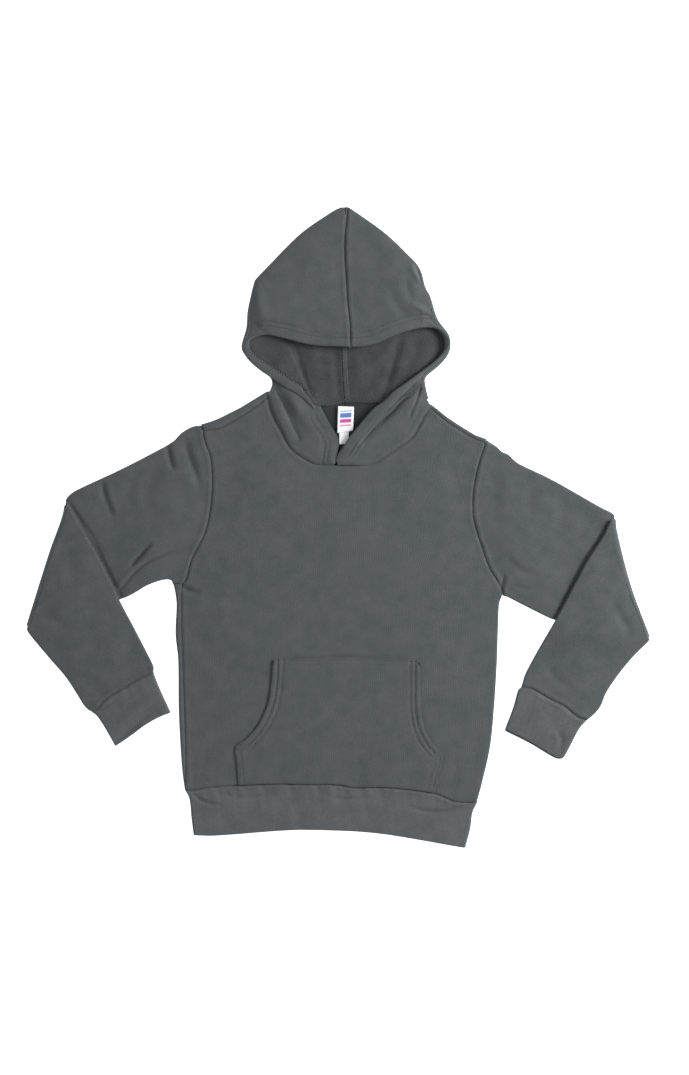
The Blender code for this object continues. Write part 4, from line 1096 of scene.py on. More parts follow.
@dataclass
class Sleeve(Piece):
    """One sleeve: a flattened tube from the armhole, turned over at the elbow, down to its cuff."""

    name: str = "sleeve"
    side: float = 1.0
    armhole: Points = ()
    armpit: tuple[float, float] = (0, 0)
    tip: tuple[float, float] = (0, 0)
    arm_a: Points = ()
    arm_b: Points = ()
    elbow: Points = ()
    fore_a: Points = ()
    fore_b: Points = ()
    cuff: Points = ()
    seed: int = 1
    widths: tuple[float, float, float] = (150.0, 125.0, 74.0)   # at the armhole, the elbow and the cuff
    puffs: tuple[float, float] = (2.4, 2.2)     # height of the arch of the upper arm and of the forearm
    uneven: tuple[float, float] = (0.45, 0.5)   # and of their slow rise and fall
    gathers: float = 0.4       # height of the waves that the cuff draws into the cloth
    elbow_z: float = 4.95      # height that the sleeve turns about at the elbow
    drop_run: float = 34.0     # way that the forearm takes to sink onto the surface
    upper_creases: tuple[Crease, ...] = ()
    fore_creases: tuple[Crease, ...] = ()

    @property
    def outward(self) -> Array:
        """Unit vector in plan out of the fold at the elbow."""
        ends = np.array(self.elbow[-1]) - np.array(self.elbow[0])
        out = np.array([-ends[1], ends[0]]) / np.hypot(*ends)
        return out if out[0] * self.side > 0 else -out

    @property
    def axis(self) -> Points:
        """The line that the cloth turns about at the elbow."""
        return tuple(tuple(np.array(p) - self.outward * self.elbow_z) for p in self.elbow)

    def stretch(self, start: Line, end: Line, side_a: Points, side_b: Points) -> tuple[Array, Array, float]:
        """Fine plan and length of the upper arm or of the forearm, between two lines across it."""
        a, b = Line(side_a), Line(side_b)
        return (*fine_plan(start, end, a, b, 220), (a.length + b.length) / 2)

    def lay(self, plans: tuple[Array, Array], v: Array, share: Array, bulge: Array,
            widths: tuple[float, float]) -> tuple[Array, Array]:
        """Places on a plan all round the tube.

        Args:
            plans: fine plans of x and y.
            v: shares along, in a column.
            share: shares across.
            bulge: how far the rounded edges stand out past the line that they turn about.
            widths: width of the tube at its start and at its end.

        Returns:
            x and y.
        """
        edge = (INSET - bulge) / (widths[0] * (1 - v) + widths[1] * v)
        place = edge + (1 - 2 * edge) * share[None]
        x, y = (sample(plan, v + 0 * place, place) for plan in plans)
        return x, y

    def build(self) -> bpy.types.Object:
        """Lay out the sleeve and finish it."""
        axis, outward = self.axis, self.outward
        cap, fold = Line((self.tip, *self.armhole[-2:0:-1], self.armpit)), Line(axis)
        *upper, arm = self.stretch(cap, fold, (self.tip, *self.arm_a, axis[0]), (self.armpit, *self.arm_b, axis[-1]))
        *lower, fore = self.stretch(fold, Line(self.cuff), (axis[0], *self.fore_a, self.cuff[0]),
                                    (axis[-1], *self.fore_b, self.cuff[-1]))
        share, angle = around(spaced(self.widths[1], 1.7), bends=6)
        is_top = ((1 + np.cos(angle)) / 2)[None]
        arch = 1 - (2 * share[None] - 1) ** 2
        height = FLOOR_Z + ROLL * (1 + np.cos(angle))[None]
        bulge = ROLL * np.abs(np.sin(angle))[None]
        # Upper arm.
        v = spaced(arm, 1.8, last=False)[:, None]
        x, y = self.lay(upper, v, share, bulge, self.widths[:2])
        seam = Line(self.armhole[::-1]).at(share)
        fix = (1 - ease(v * arm, 0, 14)) * is_top
        x += (seam[None, :, 0] + self.side * SEAM / 2 - x[:1]) * fix
        y += (seam[None, :, 1] - y[:1]) * fix
        swell = hump(np.minimum(v / 0.6, 1), 2) * arch
        uneven = self.uneven[0] * wander(x, y, self.seed, size=46)
        rise = self.puffs[0] * swell + uneven * off_edges(share[None], 130, 2, 18)
        rise += relief_at(self.upper_creases, x, y)
        rise += SeamDip(Line(self.armhole), 1.5, width=1.0, swell=0.6, swell_at=3.2).height(x, y)
        rise = np.maximum(rise, FLOOR_Z + 1.0 - TOP_Z)   # the layers never pass through each other
        parts = [(x, y, height + is_top * rise)]
        # Turn at the elbow.
        turn = np.linspace(0, math.pi, 13)[1:-1, None]
        reach = self.elbow_z - (height + is_top * rise[-1:])
        parts.append((x[-1:] + outward[0] * reach * np.sin(turn), y[-1:] + outward[1] * reach * np.sin(turn),
                      self.elbow_z - reach * np.cos(turn)))
        # Forearm, whose lower layer is now on top.
        v = spaced(fore, 1.8, first=False)[:, None]
        v[-1] = 1 - SEAM / fore
        x, y = self.lay(lower, v, share, bulge, self.widths[1:])
        swell = hump(v ** 0.8, 1.2) * arch
        uneven = self.uneven[1] * wander(x, y, self.seed + 7, size=44)
        rise = self.puffs[1] * swell + uneven * off_edges(share[None], 100, 2, 16)
        gathers = self.gathers * wander(x, y, self.seed + 3, size=19) * ease(v * fore, fore - 46, fore - 4)
        rise += gathers * off_edges(share[None], 100, 2, 12)
        rise += relief_at(self.fore_creases, x, y)
        rise += SeamDip(Line(self.cuff), 1.4, width=1.0, swell=0.7, swell_at=3.2).height(x, y)
        low = self.elbow_z + (self.elbow_z - height) - self.drop(x, y)
        parts.append((x, y, low + (1 - is_top) * rise * ease(v * fore, 0, 10)))
        x, y, z = (np.concatenate([part[k] for part in parts]) for k in range(3))
        cloth = Sheet(x, y, z).turned() if self.side < 0 else Sheet(x, y, np.maximum(z, FLOOR_Z))
        return self.declare(sewn(self.name, [cloth], WALL, [Finishes.FACE, Finishes.NAP]))

    def drop(self, x: Array, y: Array) -> Array:
        """How far the forearm sinks once it is past the upper arm's lower edge and lies on the surface."""
        start, end = np.array(self.arm_b[-2]), np.array(self.axis[-1])
        along = (end - start) / np.hypot(*(end - start))
        below = np.array([-along[1], along[0]])
        below = -below if below[1] > 0 else below
        past = (x - start[0]) * below[0] + (y - start[1]) * below[1]
        return (2 * self.elbow_z - TOP_Z - FLOOR_Z) * ease(past, 2.0, self.drop_run)


@dataclass
class SeamTape:
    """A sewn-down seam allowance on the inside: a low, narrow strip with overlock loops along it."""

    name: str
    path: Points
    width: float = 5.0
    high: float = 0.55
    stitch: float = 2.6     # from one ripple of the strip to the next

    def build(self, surface: Surface) -> tuple[bpy.types.Object, bpy.types.Object]:
        """Lay the strip on the cloth and sew over it."""
        line = Line(self.path)
        v = np.linspace(0, 1, max(int(line.length / 2.2), 8))
        offset = np.linspace(-1, 1, 7)
        sides = [line.shifted(self.width / 2 * k).at(v) for k in offset]
        x, y = (np.stack([side[:, k] for side in sides], axis=1) for k in (0, 1))
        z = surface.heights(x, y) + 0.1 + self.high * (1 - offset[None] ** 4)
        z += 0.12 * np.sin(v * line.length * 2 * math.pi / self.stitch)[:, None] * (1 - offset[None] ** 2)
        strip = sewn(self.name, [Sheet(x, y, z).turned()], 0.5, [Finishes.NAP])
        loops = thread_run(f"{self.name}_loops", [Line(line.at(v[::2]))], Surface(strip),
                           Finishes.PALE_THREAD, pitch=3.4, radius=0.32, proud=0.22, sway=self.width * 0.42)
        return strip, loops


# Columns of a hood half's rows: places on its outer edge, on its hem and on the lower cloth's back
# edge, the radius of the fold along the outer edge, and the height of the hem.
OUTER, RIM, BACK_EDGE, BEND, RIM_Z = range(5)
HOOD_NECK_DIP = SeamDip(Line(NECK_FRONT), 0.8, width=1.0, swell=0.6, swell_at=3.6)


def tucked_under(top: Sheet, edge: Array, ways: Array, radius: float, squeeze: Array) -> Sheet:
    """A hem turned in below the last row of a sheet.

    Args:
        top: the upper cloth.
        edge: places in plan of its last row.
        ways: unit vectors out of the cloth at those places.
        radius: the folded edge's radius.
        squeeze: share of the hem's width that there is room for.

    Returns:
        The hem, whose first row is the upper cloth's last one.
    """
    turn = np.linspace(0, math.pi, 8)[1:]
    past = np.concatenate([radius * np.sin(turn), -TUCKED])[:, None, None]
    fall = np.concatenate([radius * (1 - np.cos(turn)), 2 * radius + 0 * TUCKED])[:, None]
    spot = edge[None] + ways[None] * np.where(past < 0, past * squeeze[..., None], past)
    return Sheet(np.concatenate([edge[None, :, 0], spot[..., 0]]), np.concatenate([edge[None, :, 1], spot[..., 1]]),
                 np.concatenate([top.z[-1:], top.z[-1:] - fall]))


def grooved(z: Array, away: Array, depths: tuple[float, float], room: Array) -> Array:
    """Heights drawn down along the two rows of top stitching, where there is room for them."""
    for needle, deep in zip(NEEDLES, depths):
        z = z - room * deep * bell(away - needle, 0.75)
    return z


@dataclass
class HoodHalf(Piece):
    """One half of the hood: a wall that lies on the surface, its fold, and the part turned up over it."""

    name: str = "hood"
    side: float = 1.0
    outline: Points = ()
    hem: Points = ()
    rows: tuple[tuple, ...] = ()   # one for each line across the cloth, with the columns named above
    crown_seam: Points = ((9, 318.9), (8.2, 308.9), (6.8, 290.9), (6.8, 271.9), (7.9, 246.9), (9, 224.9),
                          (10.4, 210.9), (11.6, 195.9), (11.9, 180.6))
    fold_rows: float = 12.0     # rows that the fold along the outer edge has
    top_rows: float = 21.0      # rows that the upper cloth has
    more_floor: float = 0.0     # rows to which the lower cloth runs on without a fold
    hem_radius: float = 1.05    # of the folded edge of the hem
    puff: float = 3.0
    uneven: float = 0.5         # height of the slow rise and fall of the cloth
    seed: int = 1
    relief: tuple[Crease, ...] = ()
    floor_relief: tuple[Crease, ...] = ()

    def entry(self, place: int, t: Array) -> Array:
        """One number of the rows at places between them."""
        return np.interp(t, np.arange(len(self.rows)), [row[place] for row in self.rows])

    def shares(self, line: Line, place: int, t: Array) -> Array:
        """Shares along the outline or the hem that the rows reach."""
        spots = np.array([row[place] for row in self.rows], float)
        _, share, _ = line.near(spots[:, 0], spots[:, 1], 400.0)
        return np.interp(t, np.arange(len(self.rows)), np.maximum.accumulate(share))

    def edge(self, line: Line, share: Array, inset: Array, sign: float) -> tuple[Array, Array]:
        """Points of an edge moved into the cloth, and the way into it."""
        spot = line.at(share)
        ahead, behind = line.at(np.clip(share + 0.004, 0, 1)), line.at(np.clip(share - 0.004, 0, 1))
        along = (ahead - behind) / np.maximum(np.hypot(*(ahead - behind).T), 1e-9)[:, None]
        inward = np.stack([-along[:, 1], along[:, 0]], axis=1) * sign
        return spot + inward * inset[:, None], inward

    def collar_lift(self, x: Array) -> Array:
        """Lift of the wearer's left collar where it lies over the right one."""
        return 2.6 * (1 - ease(x, 14.0, 34.0)) if self.side > 0 else 0.0 * x

    def sheets(self) -> list[Sheet]:
        """The cloth of the half, from the back seam over the fold to the turned-in hem."""
        outline, hem = Line(self.outline), Line(self.hem)
        t = np.linspace(0, self.top_rows, int(self.top_rows * 13) + 1)
        roll = self.entry(BEND, t)
        has_fold = 1 - ease(t, self.fold_rows, self.fold_rows + 0.8)
        inset = has_fold * (WALL / 2 + roll) + (1 - has_fold) * SEAM
        low, inward = self.edge(outline, self.shares(outline, OUTER, t), inset, -self.side)
        high, inner = self.edge(hem, self.shares(hem, RIM, t), 0 * t + WALL / 2 + self.hem_radius, self.side)
        v = spaced(100, 1.6)
        seam = Line(self.crown_seam).at(v)
        seam[:, 0] += self.side * SEAM / 2
        low[0], high[0] = seam[0], seam[-1]
        end = low[-1] * (1 - v[:, None]) + high[-1] * v[:, None]
        x, y = coons(low, high, seam, end, t / t[-1], v)
        start_z = has_fold * (FLOOR_Z + 2 * roll) + (1 - has_fold) * (TOP_Z + 0.1 + self.collar_lift(low[:, 0]))
        hem_z = self.entry(RIM_Z, t) - 1.4
        across = v[:, None]
        # The crown, over the first rows, stands up highest.
        crown = hump(np.minimum(t / 14, 1), 0.5) * (1 - ease(t, 6, 9))
        crown[0] = 0.0
        z = start_z[None] * (1 - across) + hem_z[None] * across
        span = np.hypot(*(high - low).T)[None]
        z = z + self.puff * (0.35 + 0.65 * crown[None]) * hump(across ** 0.8) * ease(span, 5, 60)
        # The hem is doubled for 12 to 15 mm, and stands that much proud of the single cloth.
        z = z + 0.9 * (1 - ease((1 - across) * span, 12.2, 15.5)) * ease(span, 18, 30)
        z = z + self.uneven * wander(x, y, self.seed, size=58) * off_edges(across, span, 2, 22)
        away, _, _ = hem.near(x, y, 24.0)
        z = grooved(z, away, (0.85, 1.05), ease(span, 18, 26))
        top = Sheet(x, y, z).relief(SeamDip(Line(self.crown_seam), 1.3, width=1.0, swell=0.5, swell_at=3.0),
                                    HOOD_NECK_DIP, *self.relief)
        under = tucked_under(top, high, -inner, self.hem_radius, 0.12 + 0.88 * ease(span, 4, 16))
        fold, floor = self.lower(t, low, inward, roll * has_fold, top.z[0])
        out = [top, under, fold, floor]
        return [sheet.turned() for sheet in out] if self.side > 0 else out

    def lower(self, t: Array, low: Array, inward: Array, roll: Array, high_z: Array) -> tuple[Sheet, Sheet]:
        """The fold along the outer edge, and the cloth that lies on the surface, its brushed side up.

        Args:
            t: the rows' places.
            low: the line in plan that the fold turns about.
            inward: the way into the cloth from the outer edge.
            roll: the fold's radius.
            high_z: height of the upper cloth along the fold.

        Returns:
            The fold and the lower cloth.
        """
        pick = t <= self.fold_rows + 0.35
        t, low, inward, roll, high_z = t[pick], low[pick], inward[pick], roll[pick], high_z[pick]
        if self.more_floor:
            more = np.linspace(t[-1], self.more_floor, 24)[1:]
            outline = Line(self.outline)
            spots, ways = self.edge(outline, self.shares(outline, OUTER, more), 0 * more + 2.4, -self.side)
            t, low, inward = np.concatenate([t, more]), np.concatenate([low, spots]), np.concatenate([inward, ways])
            roll, high_z = np.concatenate([roll, 0 * more + 1.4]), np.concatenate([high_z, 0 * more + 3.8])
        arc = np.linspace(0, math.pi, 12)[:, None]
        out = roll[None] * np.sin(arc)
        share = (1 + np.cos(arc)) / 2
        fold = Sheet(low[None, :, 0] - inward[None, :, 0] * out, low[None, :, 1] - inward[None, :, 1] * out,
                     high_z[None] * (1 - share) + FLOOR_Z * share)
        backs = np.array([row[BACK_EDGE] for row in self.rows if row[BACK_EDGE] is not None], float)
        stop = np.stack([np.interp(t, np.arange(len(backs)), backs[:, k]) for k in (0, 1)], axis=1)
        stop[:, 0] -= self.side * 0.25
        w = spaced(100, 2.4)[:, None]
        x = stop[None, :, 0] * (1 - w) + fold.x[:1] * w
        y = stop[None, :, 1] * (1 - w) + fold.y[:1] * w
        middle = off_edges(w, 90, 0, 16)
        z = FLOOR_Z + middle * (1.9 + self.uneven * wander(x, y, self.seed + 2, size=40))
        z += middle * relief_at(self.floor_relief, x, y)
        z += 1.7 * bell(x - stop[None, :, 0], 3.4)
        return fold, Sheet(x, y, np.maximum(z, FLOOR_Z))

    def needle_lines(self, first: float, last: float) -> list[Line]:
        """The two rows of top stitching along the hem, between two of the half's rows."""
        hem, outline = Line(self.hem), Line(self.outline)
        share = self.shares(hem, RIM, np.linspace(first, last, 60))
        rows = []
        for needle in NEEDLES:
            spots, _ = self.edge(hem, share, 0 * share + needle, self.side)
            away, _, side = outline.near(spots[:, 0], spots[:, 1], 60.0)
            inside = np.flatnonzero((side * self.side < 0) & (away > 3.0))
            rows.append(Line(spots[inside[0]:inside[-1] + 1:2]))
        return rows


@dataclass
class HoodLeft(HoodHalf):
    """The wearer's left half of the hood, whose face shows from the crown to the centre front."""

    def build(self) -> bpy.types.Object:
        """Lay out the half and finish it."""
        piece = sewn(self.name, self.sheets(), WALL, [Finishes.FACE, Finishes.NAP], weld=0.06)
        stitches = thread_run("hood_left_stitches", self.needle_lines(0.1, 6.4) + self.needle_lines(8.6, 20.2),
                              Surface(piece), Finishes.THREAD)
        seam = SeamTape("hood_centre_seam", ((5.6, 236.0), (5.4, 215.0), (5.3, 197.9), (5.7, 179.9),
                                             (6.6, 161.4), (7.9, 138.4), (8.9, 128)))
        return self.declare(piece, stitches, *seam.build(Surface(piece, under=BETWEEN)))


@dataclass
class HoodRight(HoodHalf):
    """The wearer's right half: crown, a side wall turned to show its inside, and a collar."""

    wall_hem: Points = ((-93.4, 192.4), (-96.2, 181.9), (-92.4, 170.9), (-81.4, 159.7), (-69, 150.9),
                        (-60.4, 144.9), (-51.4, 138.9), (-42.4, 133.9), (-33.4, 126.9), (-27, 120.4), (-21.6, 113.6))
    wall_fold: Points = ((-63.4, 205.9), (-55.4, 186.9), (-48.2, 172.9), (-40.8, 153.9), (-35.4, 141.9),
                         (-30.6, 132.9), (-24.6, 124.9), (-19.4, 116.4))
    collar_rim: Points = ((-64, 154), (-58.4, 149.2), (-51.4, 145.4), (-40.4, 139.9), (-32.4, 135.9),
                          (-27.4, 131.9), (-22.4, 125.4), (-17.4, 119.9), (-12.4, 110.9), (-7.4, 101.9),
                          (-3.4, 95.4), (-0.4, 89.9), (0.2, 81.9), (-1.4, 72.9), (-2.4, 64.4))
    collar_end: Points = ((-71.4, 135.6), (-67.6, 141.9), (-66.4, 148), (-64, 154))
    collar_seam: Points = ((-71.4, 135.4), (-71.2, 130.3), (-66.8, 114.9), (-57.4, 95.9), (-47.9, 78.9),
                           (-34.4, 68.9), (-23.4, 63.3), (-4.4, 62.7))
    collar_relief: tuple[Crease, ...] = ()
    #     share along the wall's edge, and width of the hem that is turned in there
    turned_hem: Points = ((0.0, 0.1, 0.35, 0.8, 1.0), (4.6, 4.8, 7.6, 7.6, 6.0))

    def wall(self) -> Sheet:
        """The side wall, its face down, with its hem turned in on top."""
        hem, fold = Line(self.wall_hem), Line(self.wall_fold)
        u = spaced(hem.length, 1.7, first=False)
        edge, ridge = hem.at(u), fold.at(u)
        toward = ridge - edge
        normal, out = (np.where((left * toward).sum(1)[:, None] < 0, -left, left)
                       for left in (leftward(edge), leftward(ridge)))
        axis = edge + normal * 1.75
        low_z = np.interp(u, [0, 0.12, 0.25, 0.6, 0.85, 1], [4.9, 5.1, 5.2, 5.4, 5.8, 3.4])
        ridge_z = np.interp(u, [0, 0.3, 0.6, 0.85, 1], [3.6, 4.0, 4.6, 5.4, 3.4])
        room = np.clip(np.hypot(*toward.T) - 3.5, 0.3, 200)
        wide = np.interp(u, *self.turned_hem)
        rows = []
        for part in (1.0, 0.9, 0.72, 0.55, 0.36, 0.18):
            spot = axis + normal * np.minimum(part * wide, room)[:, None]
            rows.append((spot[:, 0], spot[:, 1], low_z + 1.85 + 0.3 * math.sin(math.pi * part) - 0.75 * part ** 6))
        for angle in np.linspace(0, math.pi, 8):
            spot = axis - normal * (0.9 * math.sin(angle))
            rows.append((spot[:, 0], spot[:, 1], low_z + 0.925 * (1 + math.cos(angle))))
        main = spaced(60, 2.0, first=False)[1:, None]
        x = axis[None, :, 0] * (1 - main) + ridge[None, :, 0] * main
        y = axis[None, :, 1] * (1 - main) + ridge[None, :, 1] * main
        z = low_z[None] * (1 - main) + ridge_z[None] * main + 0.8 * hump(main) * ease(room[None], 5, 30)
        z += 0.35 * wander(x, y, seed=71, size=26) * hump(main)
        rows.extend(zip(x, y, z))
        for gap, fall in ((0.9, 0.2), (1.7, 0.7), (2.1, 1.4), (2, 2.2), (1.4, 2.9)):
            spot = ridge + out * gap
            rows.append((spot[:, 0], spot[:, 1], np.maximum(ridge_z - fall, 1.3)))
        return Sheet(*(np.stack([row[k] for row in rows]) for k in range(3))).turned()

    def collar(self) -> list[Sheet]:
        """The collar, its face up, from the neck seam to its rim, and its turned-in hem."""
        seam, rim = Line(self.collar_seam), Line(self.collar_rim)
        u, v = spaced(150, 1.7), spaced(32, 1.2)
        low = seam.at(u)
        low = low + leftward(low) * SEAM
        high = rim.at(u)
        out = leftward(high)
        high = high - out * 1.8
        start = Line(self.collar_end).at(v)
        start[:, 0] += 1.9
        start[0], start[-1] = low[0], high[0]
        end = low[-1] * (1 - v[:, None]) + high[-1] * v[:, None]
        x, y = coons(low, high, start, end, u, v)
        rim_z = np.interp(u, [0, 0.3, 0.42, 0.5, 0.58, 0.7, 0.8, 0.9, 1], [3.2, 3.3, 3.5, 5.2, 6.5, 6.6, 6.0, 5.2, 4.4])
        across = v[:, None]
        z = (TOP_Z + 0.1) * (1 - across) + rim_z[None] * across
        z = z + (1.3 + 5.2 * bell(u[None] - 0.28, 0.22)) * hump(across ** 0.8) * ease(u, 0, 0.1)
        span = np.hypot(*(high - low).T)[None]
        away, share, _ = rim.near(x, y, 20.0)
        shown = ease(share, 0.46, 0.55)
        z = grooved(z, away, (0.8, 0.95), shown * ease(span, 14, 20))
        z += 0.25 * wander(x, y, seed=83, size=22) * hump(across)
        top = Sheet(x, y, z).relief(HOOD_NECK_DIP, *self.collar_relief)
        top.z = np.maximum(top.z, 2.75)
        # A deep fold runs down from the shoulder: steep beside the neck seam, and a long soft slope on its other side.
        away, share, side = Line(self.collar_relief[0].line).near(x, y, 20.0)
        past = away * side
        open_share = np.where(past > 0, ease(past, 0.0, 10.0 + 8.0 * share), ease(-past, 0.0, 2.6))
        fold = ease(share, 0.0, 0.06) * (1 - ease(share, 0.6, 1.0)) * (1 - open_share)
        top.z = top.z - (top.z - 3.0) * fold
        # The cloth beside the neck seam leans over the deep fold, so that its near wall is hidden.
        lean = 1.6 * bell(away * side + 3.0, 2.2) * hump(share, 0.6)
        top.x, top.y = top.x + 0.9 * lean, top.y + 0.43 * lean
        squeeze = 0.12 + 0.88 * ease(span, 4, 16) * ease(u[None], 0.0, 0.2)
        return [top, tucked_under(top, high, out, 0.95, squeeze)]

    def build(self) -> bpy.types.Object:
        """Lay out the half and finish it."""
        sheets = self.sheets() + [self.wall()] + self.collar()
        piece = sewn(self.name, sheets, WALL, [Finishes.FACE, Finishes.NAP], weld=0.02)
        face = Surface(piece)
        lines = self.needle_lines(0.1, 6.2)
        rim, share = Line(self.collar_rim), np.linspace(0.53, 0.95, 30)
        for needle in NEEDLES:
            spots, _ = self.edge(rim, share, 0 * share + needle, -1.0)
            seam = column(NECK_FRONT[:8], spots[:, 0], 1)
            lines.append(Line(spots[seam + 3.0 < spots[:, 1]]))
        stitches = thread_run("hood_right_stitches", lines, face, Finishes.THREAD)
        # A coverstitch runs over the raw edge of the turned-in hem.
        hem, share = Line(self.wall_hem), np.linspace(0.13, 0.9, 40)
        raw_edge = np.interp(share, *self.turned_hem) + 1.8
        cover = [Line(self.edge(hem, share, raw_edge + gap, 1.0)[0][::2]) for gap in (-0.6, 0.6, 1.8)]
        loops = thread_run("hood_coverstitch", cover, face, Finishes.THREAD, pitch=2.8, radius=0.42, proud=0.25,
                           sway=0.55)
        neck = SeamTape("hood_neck_tape", ((-28, 123.4), (-15.4, 122.6), (-4.4, 124.4), (6.6, 126.2),
                                           (16.6, 126.4), (33.6, 126.2), (47.6, 127)), width=4.4, high=0.6)
        inside = Surface(piece, bpy.data.objects["hood_left_half"], under=BETWEEN)
        return self.declare(piece, stitches, loops, *neck.build(inside))


@dataclass
class Label(Piece):
    """A ribbon label folded or cut straight, lying on the inside of the back."""

    name: str = "label"
    corners: Points = ()
    height: float = 2.4
    curl: float = 0.3
    finish: Finishes = Finishes.LABEL

    def build(self) -> bpy.types.Object:
        """Lay the ribbon on the cloth below it."""
        low, high = Line(self.corners[:2]), Line(self.corners[2:])
        u, v = np.linspace(0, 1, 18), np.linspace(0, 1, 30)
        start, end = Line(self.corners[::2]), Line(self.corners[1::2])
        x, y = coons(low.at(u), high.at(u), start.at(v), end.at(v), u, v)
        z = self.height + self.curl * (2 * u[None] - 1) ** 2 + 0.5 * self.curl * (1 - v[:, None]) ** 2
        z += 0.15 * np.sin(3 * v[:, None] + 1.5 * u[None])
        return self.declare(sewn(self.name, [Sheet(x, y, z)], 0.3, [self.finish]))


# ------------------------------------------------------------------ the garment
FRONT = FrontPanel("front_body", "fleece", (0.335, 0.4))
BACK = BackPanel("back_body", "fleece", (0.34, 0.41))
POCKET = Pocket("pocket", "fleece", (0.208, 0.134), rests_on=("front_body",))
HEM = RibBand(
    "hem_band", "rib", (0.585, 0.06), name="hem_rib", seam=HEM_SEAM, mouth=HEM_EDGE, side_start=HEM_END_RIGHT,
    side_end=HEM_END_LEFT, seed=3, dip_top=2.0,
    creases=(
        Crease(((-147, -263.6), (-137.8, -271.5), (-126.4, -275.4), (-115, -276.8)), 1.5, -1.9, 0.4),
        Crease(((-118, -265.5), (-100, -269.8), (-80, -268.6), (-62, -265.6)), 1.9, -1.2),
        Crease(((-14, -267), (2, -270.6), (22, -269.8), (34, -267.4)), 2.1, -1.2),
        Crease(((66, -276), (84, -282.6), (104, -283.8), (122, -279), (134, -274.4)), 2.1, -1.8)))
SLEEVE_RIGHT = Sleeve(
    "sleeve_right", "fleece", (0.31, 0.3), 0.068, "folded", name="sleeve_right_cloth", side=-1.0,
    armpit=(-164.6, -56.4), tip=(-138.2, 102.9), seed=21,
    armhole=((-164.2, -56), (-160, -56.2)) + ARMHOLE_RIGHT + ((-137, 101.2),),
    arm_a=((-146, 101.6), (-157, 95), (-165.4, 86.5), (-193.4, 71), (-221.4, 56.8), (-261.4, 38.1),
        (-268.2, 33.2), (-271.6, 28.4)),
    arm_b=((-167.6, -51.8), (-178.4, -50.6), (-194.4, -55.9), (-218.9, -71.1), (-268, -88)),
    elbow=((-273.6, 24), (-275.2, 14.9), (-278.2, 4.9), (-288.8, -24.1), (-312, -98.1)),
    fore_a=((-265.8, 15.9), (-253.1, -5.1), (-239.4, -30.1), (-226.7, -55.1), (-218.9, -71.1), (-189.3, -128.1),
        (-184.4, -138.6)),
    fore_b=((-310.4, -101.6), (-307.6, -107), (-290, -129), (-272, -150), (-259.5, -169.4),
        (-254.4, -177.6), (-250.8, -181.2)),
    cuff=((-184.8, -143.6), (-195.5, -148.8), (-201.9, -152.6), (-212.1, -158.4), (-221, -163.5), (-229.9, -169.2),
        (-236.3, -175), (-241.4, -180.7), (-247, -183.4)),
    upper_creases=(
        Crease(((-236.4, 46), (-233.4, 32.4), (-225.4, 10)), 2.7, -3.0, 1.0),
        Crease(((-186, -14.5), (-196.4, -26), (-208, -39.5)), 2.2, -3.9, 0.6),
        Crease(((-226, -68), (-217.4, -60.1), (-200.8, -41.7), (-185.5, -31.5), (-148, -19)), 1.9, -2.6, 1.3),
        Crease(((-172.4, 90), (-169.4, 74), (-164.4, 56)), 2.7, -3.0, 0.9),
        Crease(((-154, 92), (-149, 70), (-143, 54), (-138, 38)), 4.0, -2.6, 0.4),
        Crease(((-178, 66), (-190, 40), (-194, 12)), 8.0, -1.1),
        Crease(((-206, 52), (-208, 30), (-202, 8)), 5.5, -0.9),
        Crease(((-254, 2), (-247, -9), (-240, -24)), 3.0, -1.6),
        Crease(((-272.6, 30.5), (-264.4, 17.8), (-251.7, -3.4), (-238, -28.4), (-225.3, -53.4), (-212, -78)),
               2.0, -3.6)),
    fore_creases=(
        Crease(((-278, -6), (-268, -34), (-263, -66)), 9.0, -1.1),
        Crease(((-300, -80), (-282, -92), (-262, -98)), 6.0, -1.0),
        Crease(((-250, -30), (-246, -62), (-250, -92)), 9.0, -0.8),
        Crease(((-284, -132), (-262, -134), (-238, -128)), 6.0, -0.8),
        Crease(((-204, -122), (-220, -138), (-236, -150)), 5.0, -0.8)))
